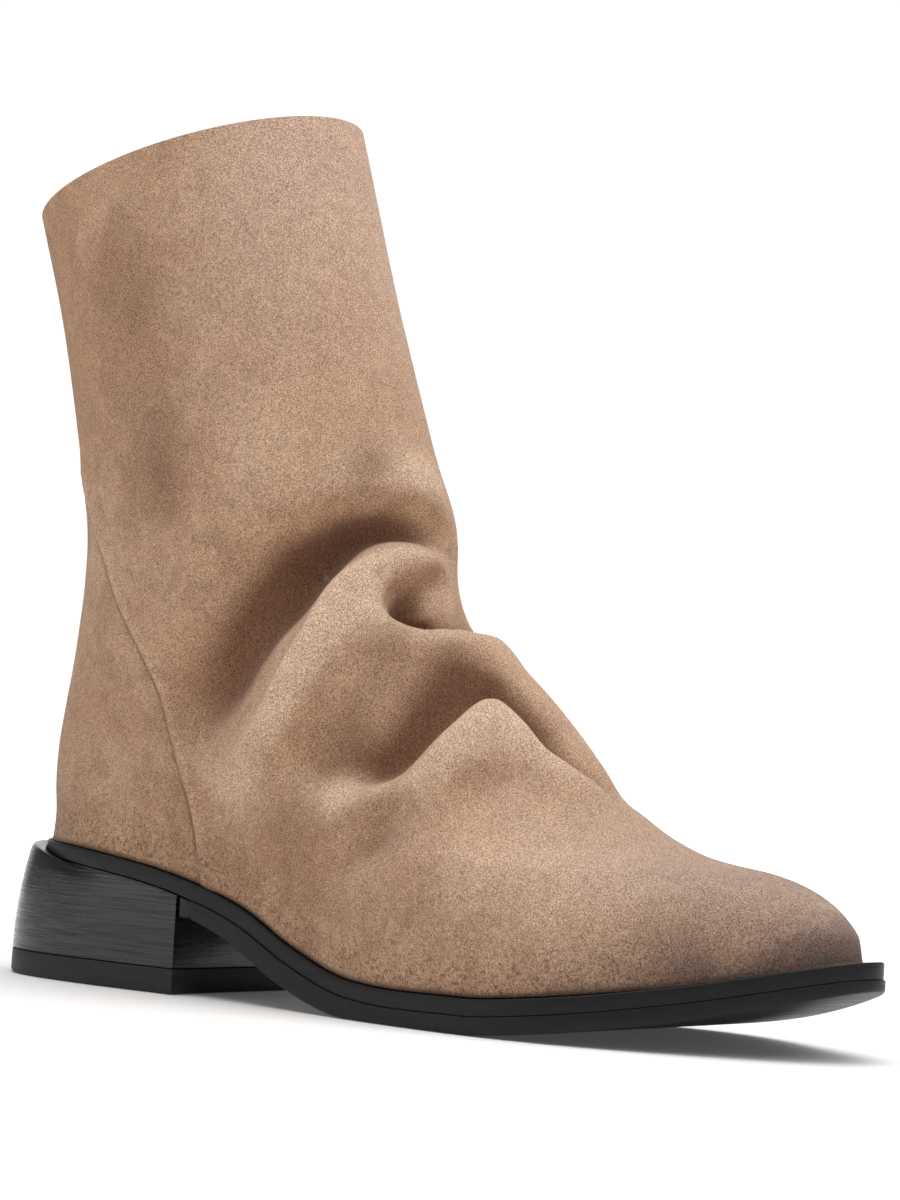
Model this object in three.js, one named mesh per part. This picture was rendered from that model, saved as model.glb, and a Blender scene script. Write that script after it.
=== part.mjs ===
import * as THREE from 'three';

// Slouch boot, right foot. Lengths are in mm. While it is built, x runs from the heel's back to the toe,
// y is negative on the lateral side and z is up from the floor.

// Named sizes
const SOLE_LENGTH = 278;
const BOOT_HEIGHT = 248;
const BALL_LATERAL = 46.5;
const BALL_MEDIAL = 45;
const SEAT_UNDERSIDE = 30.8;
const SOLE_THICKNESS = 9;
const WELT_THICKNESS = 4.3;
const WELT_SETBACK = 0.5;
const SEAT_INSET = 2.5;
const SEAT_LENGTH = 42;
const EDGE_BEVEL = 0.8;
const HEEL_RADIUS = 30;
const TOE_RADIUS = 15;
const TOE_DRIFT = 2.5;
const UPPER_WALL = 2;
const INSOLE_THICKNESS = 2;
const SEAM_RAISE = 0.7;
const SEAM_HALF_ANGLE = 3;
const HEEL_BREAST = 75.6;
const HEEL_FLARE = 8.8;
const CUP_RISE = 3.3;
const CUP_LENGTH = 34;
const CUP_CARRY = 1.7;
const CUP_STEP = 0.3;
const CUP_BEVEL = 0.15;
const TOP_LIFT_THICKNESS = 7;
const BREAST_ROLL_LENGTH = 5;
const BREAST_ROLL_ROUND = 1.8;
const BREAST_ROLL_INSET = 0.6;
const FIT_GAP = 0.3;

// Facet counts
const SOLE_STATIONS = 44;
const OUTSOLE_STATIONS = 32;
const HEEL_STATIONS = 16;
const FOLD_SAMPLES = 24;
const OUTLINE_STEP = 0.1;

// Sole outline. share: of the sole's length; lateral, medial: half-width as shares of the ball's
const OUTLINE = [
  { share: 0.10, lateral: 0.635, medial: 0.655 },
  { share: 0.18, lateral: 0.700, medial: 0.700 },
  { share: 0.28, lateral: 0.720, medial: 0.655 },
  { share: 0.38, lateral: 0.765, medial: 0.600 },
  { share: 0.48, lateral: 0.850, medial: 0.635 },
  { share: 0.58, lateral: 0.957, medial: 0.800 },
  { share: 0.67, lateral: 1.000, medial: 0.945 },
  { share: 0.75, lateral: 0.957, medial: 1.000 },
  { share: 0.83, lateral: 0.817, medial: 0.855 },
  { share: 0.90, lateral: 0.613, medial: 0.622 },
];

// Sole side. under: height of the underside as a share of the seat's, cut off flat at the floor;
// thick: share of the sole's thickness
const SIDE = [
  { share: 0.00, under: 1.000, thick: 1.00 },
  { share: 0.13, under: 0.927, thick: 1.00 },
  { share: 0.26, under: 0.761, thick: 1.00 },
  { share: 0.34, under: 0.542, thick: 1.08 },
  { share: 0.42, under: 0.208, thick: 1.17 },
  { share: 0.50, under: 0.010, thick: 1.12 },
  { share: 0.55, under: -0.004, thick: 1.00 },
  { share: 0.66, under: -0.008, thick: 1.00 },
  { share: 0.76, under: 0.081, thick: 1.00 },
  { share: 0.88, under: 0.276, thick: 0.96 },
  { share: 1.00, under: 0.578, thick: 0.82 },
];

// Heights of the heel's layers between its top and the top lift, as shares
const HEEL_LAYERS = [0.91, 0.80, 0.66, 0.48, 0.24];

// Heel's back. height: share of the heel's; carry: how far it stands out behind the seat, as a share of
// the flare
const HEEL_BACK = [
  { height: 0.00, carry: 1.00 },
  { height: 0.25, carry: 0.98 },
  { height: 0.41, carry: 0.94 },
  { height: 0.55, carry: 0.86 },
  { height: 0.69, carry: 0.76 },
  { height: 0.80, carry: 0.65 },
  { height: 0.91, carry: 0.52 },
  { height: 1.00, carry: 0.41 },
];

// Upper's rings from the feather edge to the collar, in side view. t: place up the upper; frontX, backX:
// shares of the sole's length; frontRise, backRise: heights over the sole as shares of the collar's front
// height
const RING_SIDE = [
  { t: 0.00, frontX: 0.978, frontRise: 0.008, backX: 0.016, backRise: 0.000 },
  { t: 0.06, frontX: 0.968, frontRise: 0.036, backX: 0.022, backRise: 0.034 },
  { t: 0.12, frontX: 0.942, frontRise: 0.071, backX: 0.018, backRise: 0.074 },
  { t: 0.20, frontX: 0.885, frontRise: 0.116, backX: 0.014, backRise: 0.123 },
  { t: 0.30, frontX: 0.793, frontRise: 0.161, backX: 0.016, backRise: 0.179 },
  { t: 0.40, frontX: 0.716, frontRise: 0.226, backX: 0.022, backRise: 0.229 },
  { t: 0.50, frontX: 0.586, frontRise: 0.379, backX: 0.032, backRise: 0.284 },
  { t: 0.58, frontX: 0.498, frontRise: 0.462, backX: 0.042, backRise: 0.339 },
  { t: 0.66, frontX: 0.477, frontRise: 0.539, backX: 0.043, backRise: 0.403 },
  { t: 0.78, frontX: 0.432, frontRise: 0.674, backX: 0.019, backRise: 0.538 },
  { t: 0.89, frontX: 0.381, frontRise: 0.820, backX: -0.013, backRise: 0.682 },
  { t: 1.00, frontX: 0.329, frontRise: 1.000, backX: -0.054, backRise: 0.820 },
];

// The same rings in plan. lateral, medial: shares of the ball's half-widths; widest: where along the ring;
// foot: how far it follows the sole's outline; dip: how far it follows the sole's top
const RING_PLAN = [
  { t: 0.00, lateral: 0.935, medial: 0.944, widest: 0.60, foot: 1.0, dip: 1.00 },
  { t: 0.06, lateral: 0.957, medial: 0.967, widest: 0.60, foot: 1.0, dip: 1.00 },
  { t: 0.12, lateral: 0.957, medial: 0.956, widest: 0.58, foot: 0.9, dip: 0.85 },
  { t: 0.20, lateral: 0.935, medial: 0.922, widest: 0.55, foot: 0.6, dip: 0.60 },
  { t: 0.30, lateral: 0.882, medial: 0.867, widest: 0.52, foot: 0.3, dip: 0.35 },
  { t: 0.40, lateral: 0.860, medial: 0.844, widest: 0.50, foot: 0.1, dip: 0.15 },
  { t: 0.50, lateral: 0.850, medial: 0.844, widest: 0.50, foot: 0.0, dip: 0.00 },
  { t: 0.58, lateral: 0.850, medial: 0.844, widest: 0.50, foot: 0.0, dip: 0.00 },
  { t: 0.66, lateral: 0.850, medial: 0.844, widest: 0.50, foot: 0.0, dip: 0.00 },
  { t: 0.78, lateral: 0.828, medial: 0.833, widest: 0.50, foot: 0.0, dip: 0.00 },
  { t: 0.89, lateral: 0.806, medial: 0.811, widest: 0.50, foot: 0.0, dip: 0.00 },
  { t: 1.00, lateral: 0.785, medial: 0.789, widest: 0.50, foot: 0.0, dip: 0.00 },
];
const RINGS = RING_SIDE.map((row, i) => ({ ...row, ...RING_PLAN[i] }));

// Folds. path: pairs of angle (degrees round the ring from the front, lateral side positive) and t;
// half: half-width in mm; raise: height in mm, negative for a trough
const FOLDS = [
  {
    name: 'throat trough',
    path: [[88, 0.46], [60, 0.57], [33, 0.635], [4, 0.655], [-30, 0.635], [-64, 0.59]],
    half: 12,
    raise: -6,
  },
  {
    name: 'shaft bulge',
    path: [[70, 0.65], [38, 0.70], [5, 0.72], [-28, 0.70]],
    half: 14,
    raise: 2.5,
  },
  {
    name: 'instep roll',
    path: [[98, 0.33], [78, 0.45], [53, 0.53], [30, 0.59], [4, 0.60]],
    half: 11,
    raise: 4,
  },
  {
    name: 'throat pit',
    path: [[38, 0.555], [22, 0.56], [2, 0.57], [-30, 0.55]],
    half: 10,
    raise: -3.5,
  },
  {
    name: 'vamp lip',
    path: [[44, 0.50], [22, 0.51], [0, 0.525], [-24, 0.51]],
    half: 11,
    raise: 2.5,
  },
  {
    name: 'vamp trough',
    path: [[88, 0.32], [59, 0.40], [36, 0.455], [10, 0.485], [-26, 0.48]],
    half: 12,
    raise: -4.5,
  },
  {
    name: 'vamp roll',
    path: [[88, 0.24], [57, 0.36], [38, 0.41], [14, 0.43]],
    half: 12,
    raise: 2.5,
  },
  {
    name: 'side valley',
    path: [[86, 0.16], [66, 0.30]],
    half: 14,
    raise: -1.5,
  },
  {
    name: 'ankle hollow',
    path: [[90, 0.55], [95, 0.36]],
    half: 16,
    raise: -2,
  },
];
const FOLD_TAPER = 0.35;

// Heel panel's seam. t: place up the upper; angle: degrees round the ring; raised: share of its raise
const SEAM = [
  { t: 0.00, angle: 114, raised: 0.3 },
  { t: 0.16, angle: 115, raised: 1.0 },
  { t: 0.31, angle: 113, raised: 1.0 },
  { t: 0.41, angle: 110.5, raised: 1.0 },
  { t: 0.52, angle: 114, raised: 1.0 },
  { t: 0.60, angle: 120, raised: 1.0 },
  { t: 0.69, angle: 135, raised: 0.0 },
  { t: 0.78, angle: 138, raised: 0.0 },
  { t: 1.00, angle: 138, raised: 0.0 },
];

// Grid of the upper. columns: shares of the angle from the front to the seam and from it to the back
const FRONT_COLUMNS = [
  0, 0.06, 0.12, 0.18, 0.24, 0.30, 0.36, 0.42, 0.48, 0.54, 0.60, 0.66, 0.72, 0.78, 0.835, 0.885, 0.93,
];
const BACK_COLUMNS = [0.09, 0.18, 0.27, 0.37, 0.48, 0.60, 0.73, 0.87, 1];
const ROWS = [
  0, 0.03, 0.06, 0.10, 0.14, 0.18, 0.22, 0.26, 0.29, 0.32, 0.345, 0.37, 0.39, 0.408, 0.425, 0.44, 0.455, 0.47,
  0.485, 0.50, 0.515, 0.53, 0.545, 0.56, 0.575, 0.59, 0.605, 0.625, 0.65, 0.68, 0.715, 0.76, 0.82, 0.90, 1,
];

// Smooth curve through the rows of a table, on its column named key
function along(rows, column, key, at) {
  const last = rows.length - 1;
  const x = Math.min(Math.max(at, rows[0][key]), rows[last][key]);
  let i = 0;
  while (i < last - 1 && x > rows[i + 1][key]) i += 1;
  const width = (k) => rows[k + 1][key] - rows[k][key];
  const slope = (k) => (rows[k + 1][column] - rows[k][column]) / width(k);
  const tangent = (k) => {
    if (k === 0) return slope(0);
    if (k === last) return slope(last - 1);
    return (slope(k - 1) * width(k) + slope(k) * width(k - 1)) / (width(k - 1) + width(k));
  };
  const w = width(i);
  const s = (x - rows[i][key]) / w;
  const a = (1 + 2 * s) * (1 - s) * (1 - s) * rows[i][column];
  const b = s * (1 - s) * (1 - s) * w * tangent(i);
  const c = s * s * (3 - 2 * s) * rows[i + 1][column];
  const d = s * s * (s - 1) * w * tangent(i + 1);
  return a + b + c + d;
}

const smooth = (value) => {
  const s = Math.min(Math.max(value, 0), 1);
  return s * s * (3 - 2 * s);
};

// Sole: half-width, centre line, underside and top at a place along it. Each half-width is held as a
// share of a round-ended blank, so that heel and toe come out round
function roundShares(column, ball) {
  const blank = (share) => 2 * Math.sqrt(share * (1 - share));
  const inner = OUTLINE.map((row) => ({ share: row.share, width: (row[column] * ball) / blank(row.share) }));
  const heel = { share: 0, width: Math.sqrt(2 * HEEL_RADIUS * SOLE_LENGTH) / 2 };
  const toe = { share: 1, width: Math.sqrt(2 * TOE_RADIUS * SOLE_LENGTH) / 2 };
  return [heel, ...inner, toe];
}
const LATERAL_SHARES = roundShares('lateral', BALL_LATERAL);
const MEDIAL_SHARES = roundShares('medial', BALL_MEDIAL);

function halfWidth(share, side) {
  const rows = side < 0 ? LATERAL_SHARES : MEDIAL_SHARES;
  return along(rows, 'width', 'share', share) * 2 * Math.sqrt(Math.max(share * (1 - share), 0));
}
const centre = (share) => TOE_DRIFT * Math.max((share - 0.5) / 0.5, 0) ** 2;
const underside = (x) => Math.max(0, SEAT_UNDERSIDE * along(SIDE, 'under', 'share', x / SOLE_LENGTH));
function upright(x, thickness) {
  const step = 2;
  const slope = (underside(x + step) - underside(x - step)) / (2 * step);
  return thickness * Math.sqrt(1 + slope * slope);
}
const soleTop = (x) => {
  const thickness = SOLE_THICKNESS * along(SIDE, 'thick', 'share', x / SOLE_LENGTH);
  return underside(x) + upright(x, thickness);
};
const weltUnderside = (x) => soleTop(x) - upright(x, WELT_THICKNESS);

// Closed body from layers of paired left and right points, top layer first
function layeredBody(layers) {
  const count = layers[0].length;
  const positions = [];
  const loops = [];
  for (const layer of layers) {
    const left = [];
    const right = [];
    layer.forEach((pair) => {
      const single = Math.hypot(pair.left[0] - pair.right[0], pair.left[1] - pair.right[1]) < 0.001;
      left.push(positions.length / 3);
      positions.push(...pair.left);
      if (!single) positions.push(...pair.right);
      right.push(single ? left[left.length - 1] : positions.length / 3 - 1);
    });
    loops.push({ left, right });
  }
  const index = [];
  const triangle = (a, b, c) => {
    if (a !== b && b !== c && a !== c) index.push(a, b, c);
  };
  const quad = (a, b, c, d) => {
    triangle(a, b, c);
    triangle(a, c, d);
  };
  const top = loops[0];
  const bottom = loops[loops.length - 1];
  for (let i = 0; i < count - 1; i += 1) {
    quad(top.left[i], top.right[i], top.right[i + 1], top.left[i + 1]);
    quad(bottom.left[i], bottom.left[i + 1], bottom.right[i + 1], bottom.right[i]);
  }
  for (let k = 0; k < loops.length - 1; k += 1) {
    const a = loops[k];
    const b = loops[k + 1];
    for (let i = 0; i < count - 1; i += 1) {
      quad(a.left[i], a.left[i + 1], b.left[i + 1], b.left[i]);
      quad(a.right[i], b.right[i], b.right[i + 1], a.right[i + 1]);
    }
    quad(a.left[0], b.left[0], b.right[0], a.right[0]);
    quad(a.left[count - 1], a.right[count - 1], b.right[count - 1], b.left[count - 1]);
  }
  return bodyGeometry(positions, index);
}

// Geometry that faces out
function bodyGeometry(positions, index) {
  let volume = 0;
  const point = (i) => new THREE.Vector3(...positions.slice(3 * i, 3 * i + 3));
  for (let k = 0; k < index.length; k += 3) {
    volume += point(index[k]).dot(point(index[k + 1]).cross(point(index[k + 2])));
  }
  if (volume < 0) {
    for (let k = 0; k < index.length; k += 3) {
      [index[k + 1], index[k + 2]] = [index[k + 2], index[k + 1]];
    }
  }
  const geometry = new THREE.BufferGeometry();
  geometry.setAttribute('position', new THREE.Float32BufferAttribute(positions, 3));
  geometry.setIndex(index);
  geometry.computeVertexNormals();
  return geometry;
}

// Shares along the sole, closer together at both round ends
function endShares(count) {
  return Array.from({ length: count + 1 }, (_, i) => (1 - Math.cos((Math.PI * i) / count)) / 2);
}

// Point of the sole's outline at a share of its length, moved in square to the outline
function outlinePoint(share, side, inset) {
  if (share === 0) return new THREE.Vector2(inset, centre(share));
  if (share === 1) return new THREE.Vector2(SOLE_LENGTH - inset, centre(share));
  const at = (s) => new THREE.Vector2(s * SOLE_LENGTH, centre(s) + side * halfWidth(s, side));
  const step = OUTLINE_STEP * Math.min(share, 1 - share);
  const run = at(share + step).sub(at(share - step)).normalize();
  return at(share).add(new THREE.Vector2(side * run.y, -side * run.x).multiplyScalar(inset));
}

// Layer of the sole's outline at some shares, moved in by an inset that follows the share
function insetLayer(shares, inset, height) {
  return shares.map((share) => {
    const edge = (side) => {
      const point = outlinePoint(share, side, inset(share));
      return [point.x, point.y, height(point.x)];
    };
    return { left: edge(-1), right: edge(1) };
  });
}

// Welt: set in at the heel's back, inside the heel's cup
const weltInset = (share) => WELT_SETBACK + SEAT_INSET * smooth(1 - (share * SOLE_LENGTH) / SEAT_LENGTH);
function weltLayer(bevel, height) {
  return insetLayer(endShares(SOLE_STATIONS), (share) => weltInset(share) + bevel, height);
}
const weltBody = layeredBody([
  weltLayer(EDGE_BEVEL, soleTop),
  weltLayer(0, (x) => soleTop(x) - EDGE_BEVEL),
  weltLayer(0, weltUnderside),
]);

// Outsole: from the breast roll to the toe, under the welt
function outsoleLayer(setback, height) {
  const start = (HEEL_BREAST + BREAST_ROLL_LENGTH + 2 * FIT_GAP) / SOLE_LENGTH;
  return Array.from({ length: OUTSOLE_STATIONS + 1 }, (_, i) => {
    const place = Math.sin((Math.PI * i) / (2 * OUTSOLE_STATIONS));
    const share = start + (1 - start) * place;
    const x = share * SOLE_LENGTH - setback * place;
    const edge = (side) => {
      const full = side < 0 ? BALL_LATERAL : BALL_MEDIAL;
      return centre(share) + side * halfWidth(share, side) * (1 - setback / full);
    };
    return { left: [x, edge(-1), height(x)], right: [x, edge(1), height(x)] };
  });
}
const outsoleBody = layeredBody([
  outsoleLayer(0, (x) => weltUnderside(x) - FIT_GAP),
  outsoleLayer(0, (x) => underside(x) + EDGE_BEVEL),
  outsoleLayer(EDGE_BEVEL, underside),
]);

// Heel: outline of the sole from its back to the breast, carried backwards by an amount and set back at
// the sides. The carry fades out towards the breast
const breastShare = HEEL_BREAST / SOLE_LENGTH;
const heelPlaces = Array.from({ length: HEEL_STATIONS + 1 }, (_, i) => {
  const turn = (Math.PI * i) / (2 * HEEL_STATIONS);
  return 1 - Math.cos(turn);
});
function heelLayer(carry, setback, height) {
  return heelPlaces.map((place) => {
    const share = breastShare * place;
    const x = share * SOLE_LENGTH - carry * (1 - place) + setback * (1 - 2 * place);
    const edge = (side) => side * (halfWidth(share, side) - setback * Math.min(1, 4 * place));
    return { left: [x, edge(-1), height(x)], right: [x, edge(1), height(x)] };
  });
}
const heelTop = (x) => weltUnderside(Math.max(x, 0)) - FIT_GAP;
const liftTop = TOP_LIFT_THICKNESS;
const carryAt = (z) => HEEL_FLARE * along(HEEL_BACK, 'carry', 'height', z / heelTop(0));
const heelShare = (share) => (x) => liftTop + FIT_GAP + share * (heelTop(x) - liftTop - FIT_GAP);

// The heel's top is a seat for the welt, with a cup's rim round its back that fades into a small step
function cupRim(x) {
  const cup = smooth(1 - x / CUP_LENGTH);
  return heelTop(x) + CUP_RISE * cup - CUP_STEP * (1 - cup);
}
function seatLayer(height) {
  const shares = heelPlaces.map((place) => breastShare * place);
  return insetLayer(shares, (share) => weltInset(share) - FIT_GAP, height);
}
const heelBody = layeredBody([
  seatLayer(heelTop),
  seatLayer(cupRim),
  heelLayer(CUP_CARRY, 0, (x) => cupRim(x) - CUP_BEVEL),
  heelLayer(carryAt(heelTop(0)) - EDGE_BEVEL, 0, (x) => cupRim(x) - EDGE_BEVEL - CUP_BEVEL),
  ...HEEL_LAYERS.map((share) => heelLayer(carryAt(heelShare(share)(0)), 0, heelShare(share))),
  heelLayer(carryAt(liftTop + FIT_GAP), 0, () => liftTop + FIT_GAP),
]);
const liftBody = layeredBody([
  heelLayer(carryAt(liftTop), 0, () => liftTop),
  heelLayer(HEEL_FLARE, 0, () => EDGE_BEVEL),
  heelLayer(HEEL_FLARE, EDGE_BEVEL, () => 0),
]);

// Breast roll: bar with a rounded edge between the heel's breast and the outsole's end
function breastRoll() {
  const start = HEEL_BREAST + FIT_GAP;
  const end = start + BREAST_ROLL_LENGTH;
  const corner = BREAST_ROLL_ROUND * (1 - Math.SQRT1_2);
  const bottom = underside(end);
  const lines = [
    [start, weltUnderside(start) - FIT_GAP],
    [end, weltUnderside(end) - FIT_GAP],
    [end, bottom + BREAST_ROLL_ROUND],
    [end - corner, bottom + corner],
    [end - BREAST_ROLL_ROUND, bottom],
    [start, bottom],
  ];
  const ends = [-1, 1].map((side) => side * (halfWidth(breastShare, side) - BREAST_ROLL_INSET));
  const positions = [];
  ends.forEach((y) => lines.forEach(([x, z]) => positions.push(x, y, z)));
  const count = lines.length;
  const index = [];
  for (let i = 0; i < count; i += 1) {
    const j = (i + 1) % count;
    index.push(i, j, count + j, i, count + j, count + i);
  }
  for (let i = 1; i < count - 1; i += 1) {
    index.push(0, i + 1, i, count, count + i, count + i + 1);
  }
  return bodyGeometry(positions, index);
}

// Height of the collar's front over the sole
const collarRing = RINGS[RINGS.length - 1];
const upperHeight = BOOT_HEIGHT - soleTop(SOLE_LENGTH * collarRing.frontX) - FIT_GAP;

// Upper's base form at an angle (degrees from the front, lateral side positive) and a place t
function basePoint(angle, t) {
  const ring = (column) => along(RINGS, column, 't', t);
  const u = THREE.MathUtils.degToRad(angle);
  const side = Math.sin(u) >= 0 ? -1 : 1;
  const reach = Math.abs(Math.cos(u));
  const widest = ring('widest');
  const ovalX = Math.cos(u) >= 0 ? widest + (1 - widest) * reach : widest * (1 - reach);
  const ovalY = Math.abs(Math.sin(u));
  const footX = (1 + Math.cos(u)) / 2;
  const ball = side < 0 ? BALL_LATERAL : BALL_MEDIAL;
  const footY = halfWidth(footX, side) / ball;
  const foot = ring('foot');
  const shareX = foot * footX + (1 - foot) * ovalX;
  const shareY = foot * footY + (1 - foot) * ovalY;
  const frontX = SOLE_LENGTH * ring('frontX');
  const backX = SOLE_LENGTH * ring('backX');
  const x = backX + (frontX - backX) * shareX;
  const reachY = ball * ring(side < 0 ? 'lateral' : 'medial');
  const y = side * reachY * shareY + foot * centre(Math.max(shareX, 0.5));
  const feather = smooth(t / RINGS[1].t);
  const frontLift = upperHeight * ring('frontRise') * feather;
  const backLift = upperHeight * ring('backRise') * feather;
  const chord = soleTop(backX) + (soleTop(frontX) - soleTop(backX)) * shareX;
  const onSole = chord + ring('dip') * (soleTop(x) - chord);
  const z = onSole + FIT_GAP + backLift + (frontLift - backLift) * shareX;
  return new THREE.Vector3(x, y, z);
}

function baseNormal(angle, t) {
  const low = Math.max(t - 0.01, 0);
  const high = Math.min(t + 0.01, 1);
  const around = basePoint(angle + 1.5, t).sub(basePoint(angle - 1.5, t));
  const up = basePoint(angle, high).sub(basePoint(angle, low));
  return up.cross(around).normalize();
}

// Folds as places in space along their paths, with the share of the raise at each
const foldPlaces = FOLDS.map((fold) => {
  const rows = fold.path.map(([angle, t], i) => ({ step: i / (fold.path.length - 1), angle, t }));
  const places = [];
  for (let i = 0; i <= FOLD_SAMPLES; i += 1) {
    const step = i / FOLD_SAMPLES;
    const point = basePoint(along(rows, 'angle', 'step', step), along(rows, 't', 'step', step));
    const taper = smooth(Math.min(step, 1 - step) / FOLD_TAPER);
    places.push({ point, taper });
  }
  return places;
});

function foldRaise(point) {
  let raise = 0;
  FOLDS.forEach((fold, k) => {
    let nearest = Infinity;
    let taper = 0;
    for (let i = 0; i < FOLD_SAMPLES; i += 1) {
      const start = foldPlaces[k][i];
      const end = foldPlaces[k][i + 1];
      const run = end.point.clone().sub(start.point);
      const passed = point.clone().sub(start.point).dot(run) / run.lengthSq();
      const share = Math.min(Math.max(passed, 0), 1);
      const distance = start.point.clone().addScaledVector(run, share).distanceTo(point);
      if (distance < nearest) {
        nearest = distance;
        taper = start.taper + (end.taper - start.taper) * share;
      }
    }
    const off = nearest / fold.half;
    raise += fold.raise * taper * Math.exp(-off * off);
  });
  return raise;
}

function foldedPoint(angle, t) {
  const point = basePoint(angle, t);
  return point.clone().addScaledVector(baseNormal(angle, t), foldRaise(point));
}

function foldedNormal(angle, t) {
  const low = Math.max(t - 0.012, 0);
  const high = Math.min(t + 0.012, 1);
  const around = foldedPoint(angle + 3, t).sub(foldedPoint(angle - 3, t));
  const up = foldedPoint(angle, high).sub(foldedPoint(angle, low));
  return up.cross(around).normalize();
}

// Angles of the columns at a place t; the seam has a column on its crest and one on each side
function columnAngles(t) {
  const seam = along(SEAM, 'angle', 't', t);
  const front = FRONT_COLUMNS.map((share) => share * seam);
  const crest = [seam - SEAM_HALF_ANGLE, seam, seam + SEAM_HALF_ANGLE];
  const behind = seam + SEAM_HALF_ANGLE;
  const back = BACK_COLUMNS.map((share) => behind + share * (180 - behind));
  const half = [...front, ...crest, ...back];
  const other = half.slice(1, -1).reverse().map((angle) => -angle);
  return [...half, ...other];
}
const crestColumn = FRONT_COLUMNS.length + 1;

function upperGrid() {
  return ROWS.map((t) => {
    const angles = columnAngles(t);
    const raised = SEAM_RAISE * along(SEAM, 'raised', 't', t);
    return angles.map((angle, column) => {
      const folded = foldedPoint(angle, t);
      const normal = foldedNormal(angle, t);
      const onCrest = column === crestColumn || column === angles.length - crestColumn;
      const outer = folded.clone().addScaledVector(normal, onCrest ? raised : 0);
      const level = normal.clone();
      level.z *= smooth(t / RINGS[1].t);
      level.normalize();
      const inner = folded.clone().addScaledVector(level, -UPPER_WALL);
      if (t === 0) inner.z = soleTop(inner.x) + FIT_GAP;
      return { outer, inner };
    });
  });
}
const grid = upperGrid();

function upperBody() {
  const rows = grid.length;
  const columns = grid[0].length;
  const positions = [];
  for (const skin of ['outer', 'inner']) {
    grid.forEach((row) => row.forEach((place) => positions.push(...place[skin].toArray())));
  }
  const at = (skin, row, column) => (skin * rows + row) * columns + (column % columns);
  const index = [];
  const quad = (a, b, c, d) => index.push(a, b, c, a, c, d);
  for (let i = 0; i < columns; i += 1) {
    for (let j = 0; j < rows - 1; j += 1) {
      quad(at(0, j, i), at(0, j, i + 1), at(0, j + 1, i + 1), at(0, j + 1, i));
      quad(at(1, j, i), at(1, j + 1, i), at(1, j + 1, i + 1), at(1, j, i + 1));
    }
    quad(at(0, rows - 1, i), at(0, rows - 1, i + 1), at(1, rows - 1, i + 1), at(1, rows - 1, i));
    quad(at(0, 0, i), at(1, 0, i), at(1, 0, i + 1), at(0, 0, i + 1));
  }
  return bodyGeometry(positions, index);
}

// Insole: within the upper's inner skin at the feather edge, clear of where the wall leans in above it
function insoleBody() {
  const columns = grid[0].length;
  const middle = new THREE.Vector2(SOLE_LENGTH / 2, 0);
  const edge = (column) => {
    const low = grid[0][column].inner;
    const next = grid[1][column].inner;
    const inward = new THREE.Vector2(low.x - grid[0][column].outer.x, low.y - grid[0][column].outer.y);
    inward.normalize();
    const lean = Math.max(0, inward.x * (next.x - low.x) + inward.y * (next.y - low.y));
    return new THREE.Vector2(low.x, low.y).addScaledVector(inward, FIT_GAP + lean);
  };
  const pairs = [];
  for (let i = 0; i <= columns / 2; i += 1) {
    const lateral = edge(i);
    const medial = i === 0 || i === columns / 2 ? lateral : edge(columns - i);
    pairs.push({ lateral, medial });
  }
  const layer = (height) => pairs.map(({ lateral, medial }) => ({
    left: [lateral.x, lateral.y, soleTop(lateral.x) + FIT_GAP + height],
    right: [medial.x, medial.y, soleTop(medial.x) + FIT_GAP + height],
  }));
  return layeredBody([layer(INSOLE_THICKNESS), layer(0)]);
}

// Nodes
const group = new THREE.Group();
group.name = 'slouch_boot';

function addNode(name, geometry, color, roughness) {
  const material = new THREE.MeshStandardMaterial({ color, roughness, metalness: 0 });
  material.name = name;
  const mesh = new THREE.Mesh(geometry, material);
  mesh.name = name;
  group.add(mesh);
}
addNode('upper', upperBody(), 0xa98a6b, 0.95);
addNode('insole', insoleBody(), 0xb59a78, 0.8);
addNode('welt', weltBody, 0x1c1b1c, 0.45);
addNode('outsole', outsoleBody, 0x19181a, 0.5);
addNode('heel_block', heelBody, 0x161517, 0.3);
addNode('heel_top_lift', liftBody, 0x1f1e20, 0.6);
addNode('breast_roll', breastRoll(), 0x171618, 0.4);

// Origin at the middle of the box's underside
const box = new THREE.Box3().setFromObject(group);
const middle = box.getCenter(new THREE.Vector3());
group.children.forEach((mesh) => mesh.geometry.translate(-middle.x, -middle.y, -box.min.z));

export default group;
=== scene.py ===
import math
import bpy
import numpy as np
from mathutils import Matrix, Vector


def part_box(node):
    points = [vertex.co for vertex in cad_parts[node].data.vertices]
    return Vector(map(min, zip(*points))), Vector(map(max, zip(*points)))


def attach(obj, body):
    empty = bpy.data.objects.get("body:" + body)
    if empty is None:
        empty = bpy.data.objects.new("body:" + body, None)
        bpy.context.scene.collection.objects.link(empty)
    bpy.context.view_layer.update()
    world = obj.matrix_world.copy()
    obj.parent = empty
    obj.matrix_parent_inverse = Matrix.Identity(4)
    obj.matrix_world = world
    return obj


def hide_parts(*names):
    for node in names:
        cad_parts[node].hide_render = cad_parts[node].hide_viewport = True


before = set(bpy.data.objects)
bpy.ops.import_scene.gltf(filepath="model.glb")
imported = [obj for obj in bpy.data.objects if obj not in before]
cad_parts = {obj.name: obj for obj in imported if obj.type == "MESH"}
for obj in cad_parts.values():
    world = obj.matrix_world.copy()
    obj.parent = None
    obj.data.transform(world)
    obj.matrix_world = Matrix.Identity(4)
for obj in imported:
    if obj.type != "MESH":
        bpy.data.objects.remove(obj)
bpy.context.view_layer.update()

# Named sizes, in mm. x runs from the heel's back to the toe, y is negative on the lateral side
MM = 0.001
SOLE_LENGTH = 278.0
BOOT_HEIGHT = 248.0
BALL_LATERAL = 46.5
BALL_MEDIAL = 45.0
SEAT_UNDERSIDE = 30.8
SOLE_THICKNESS = 9.0
WELT_THICKNESS = 4.3
WELT_SETBACK = 0.5
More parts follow.
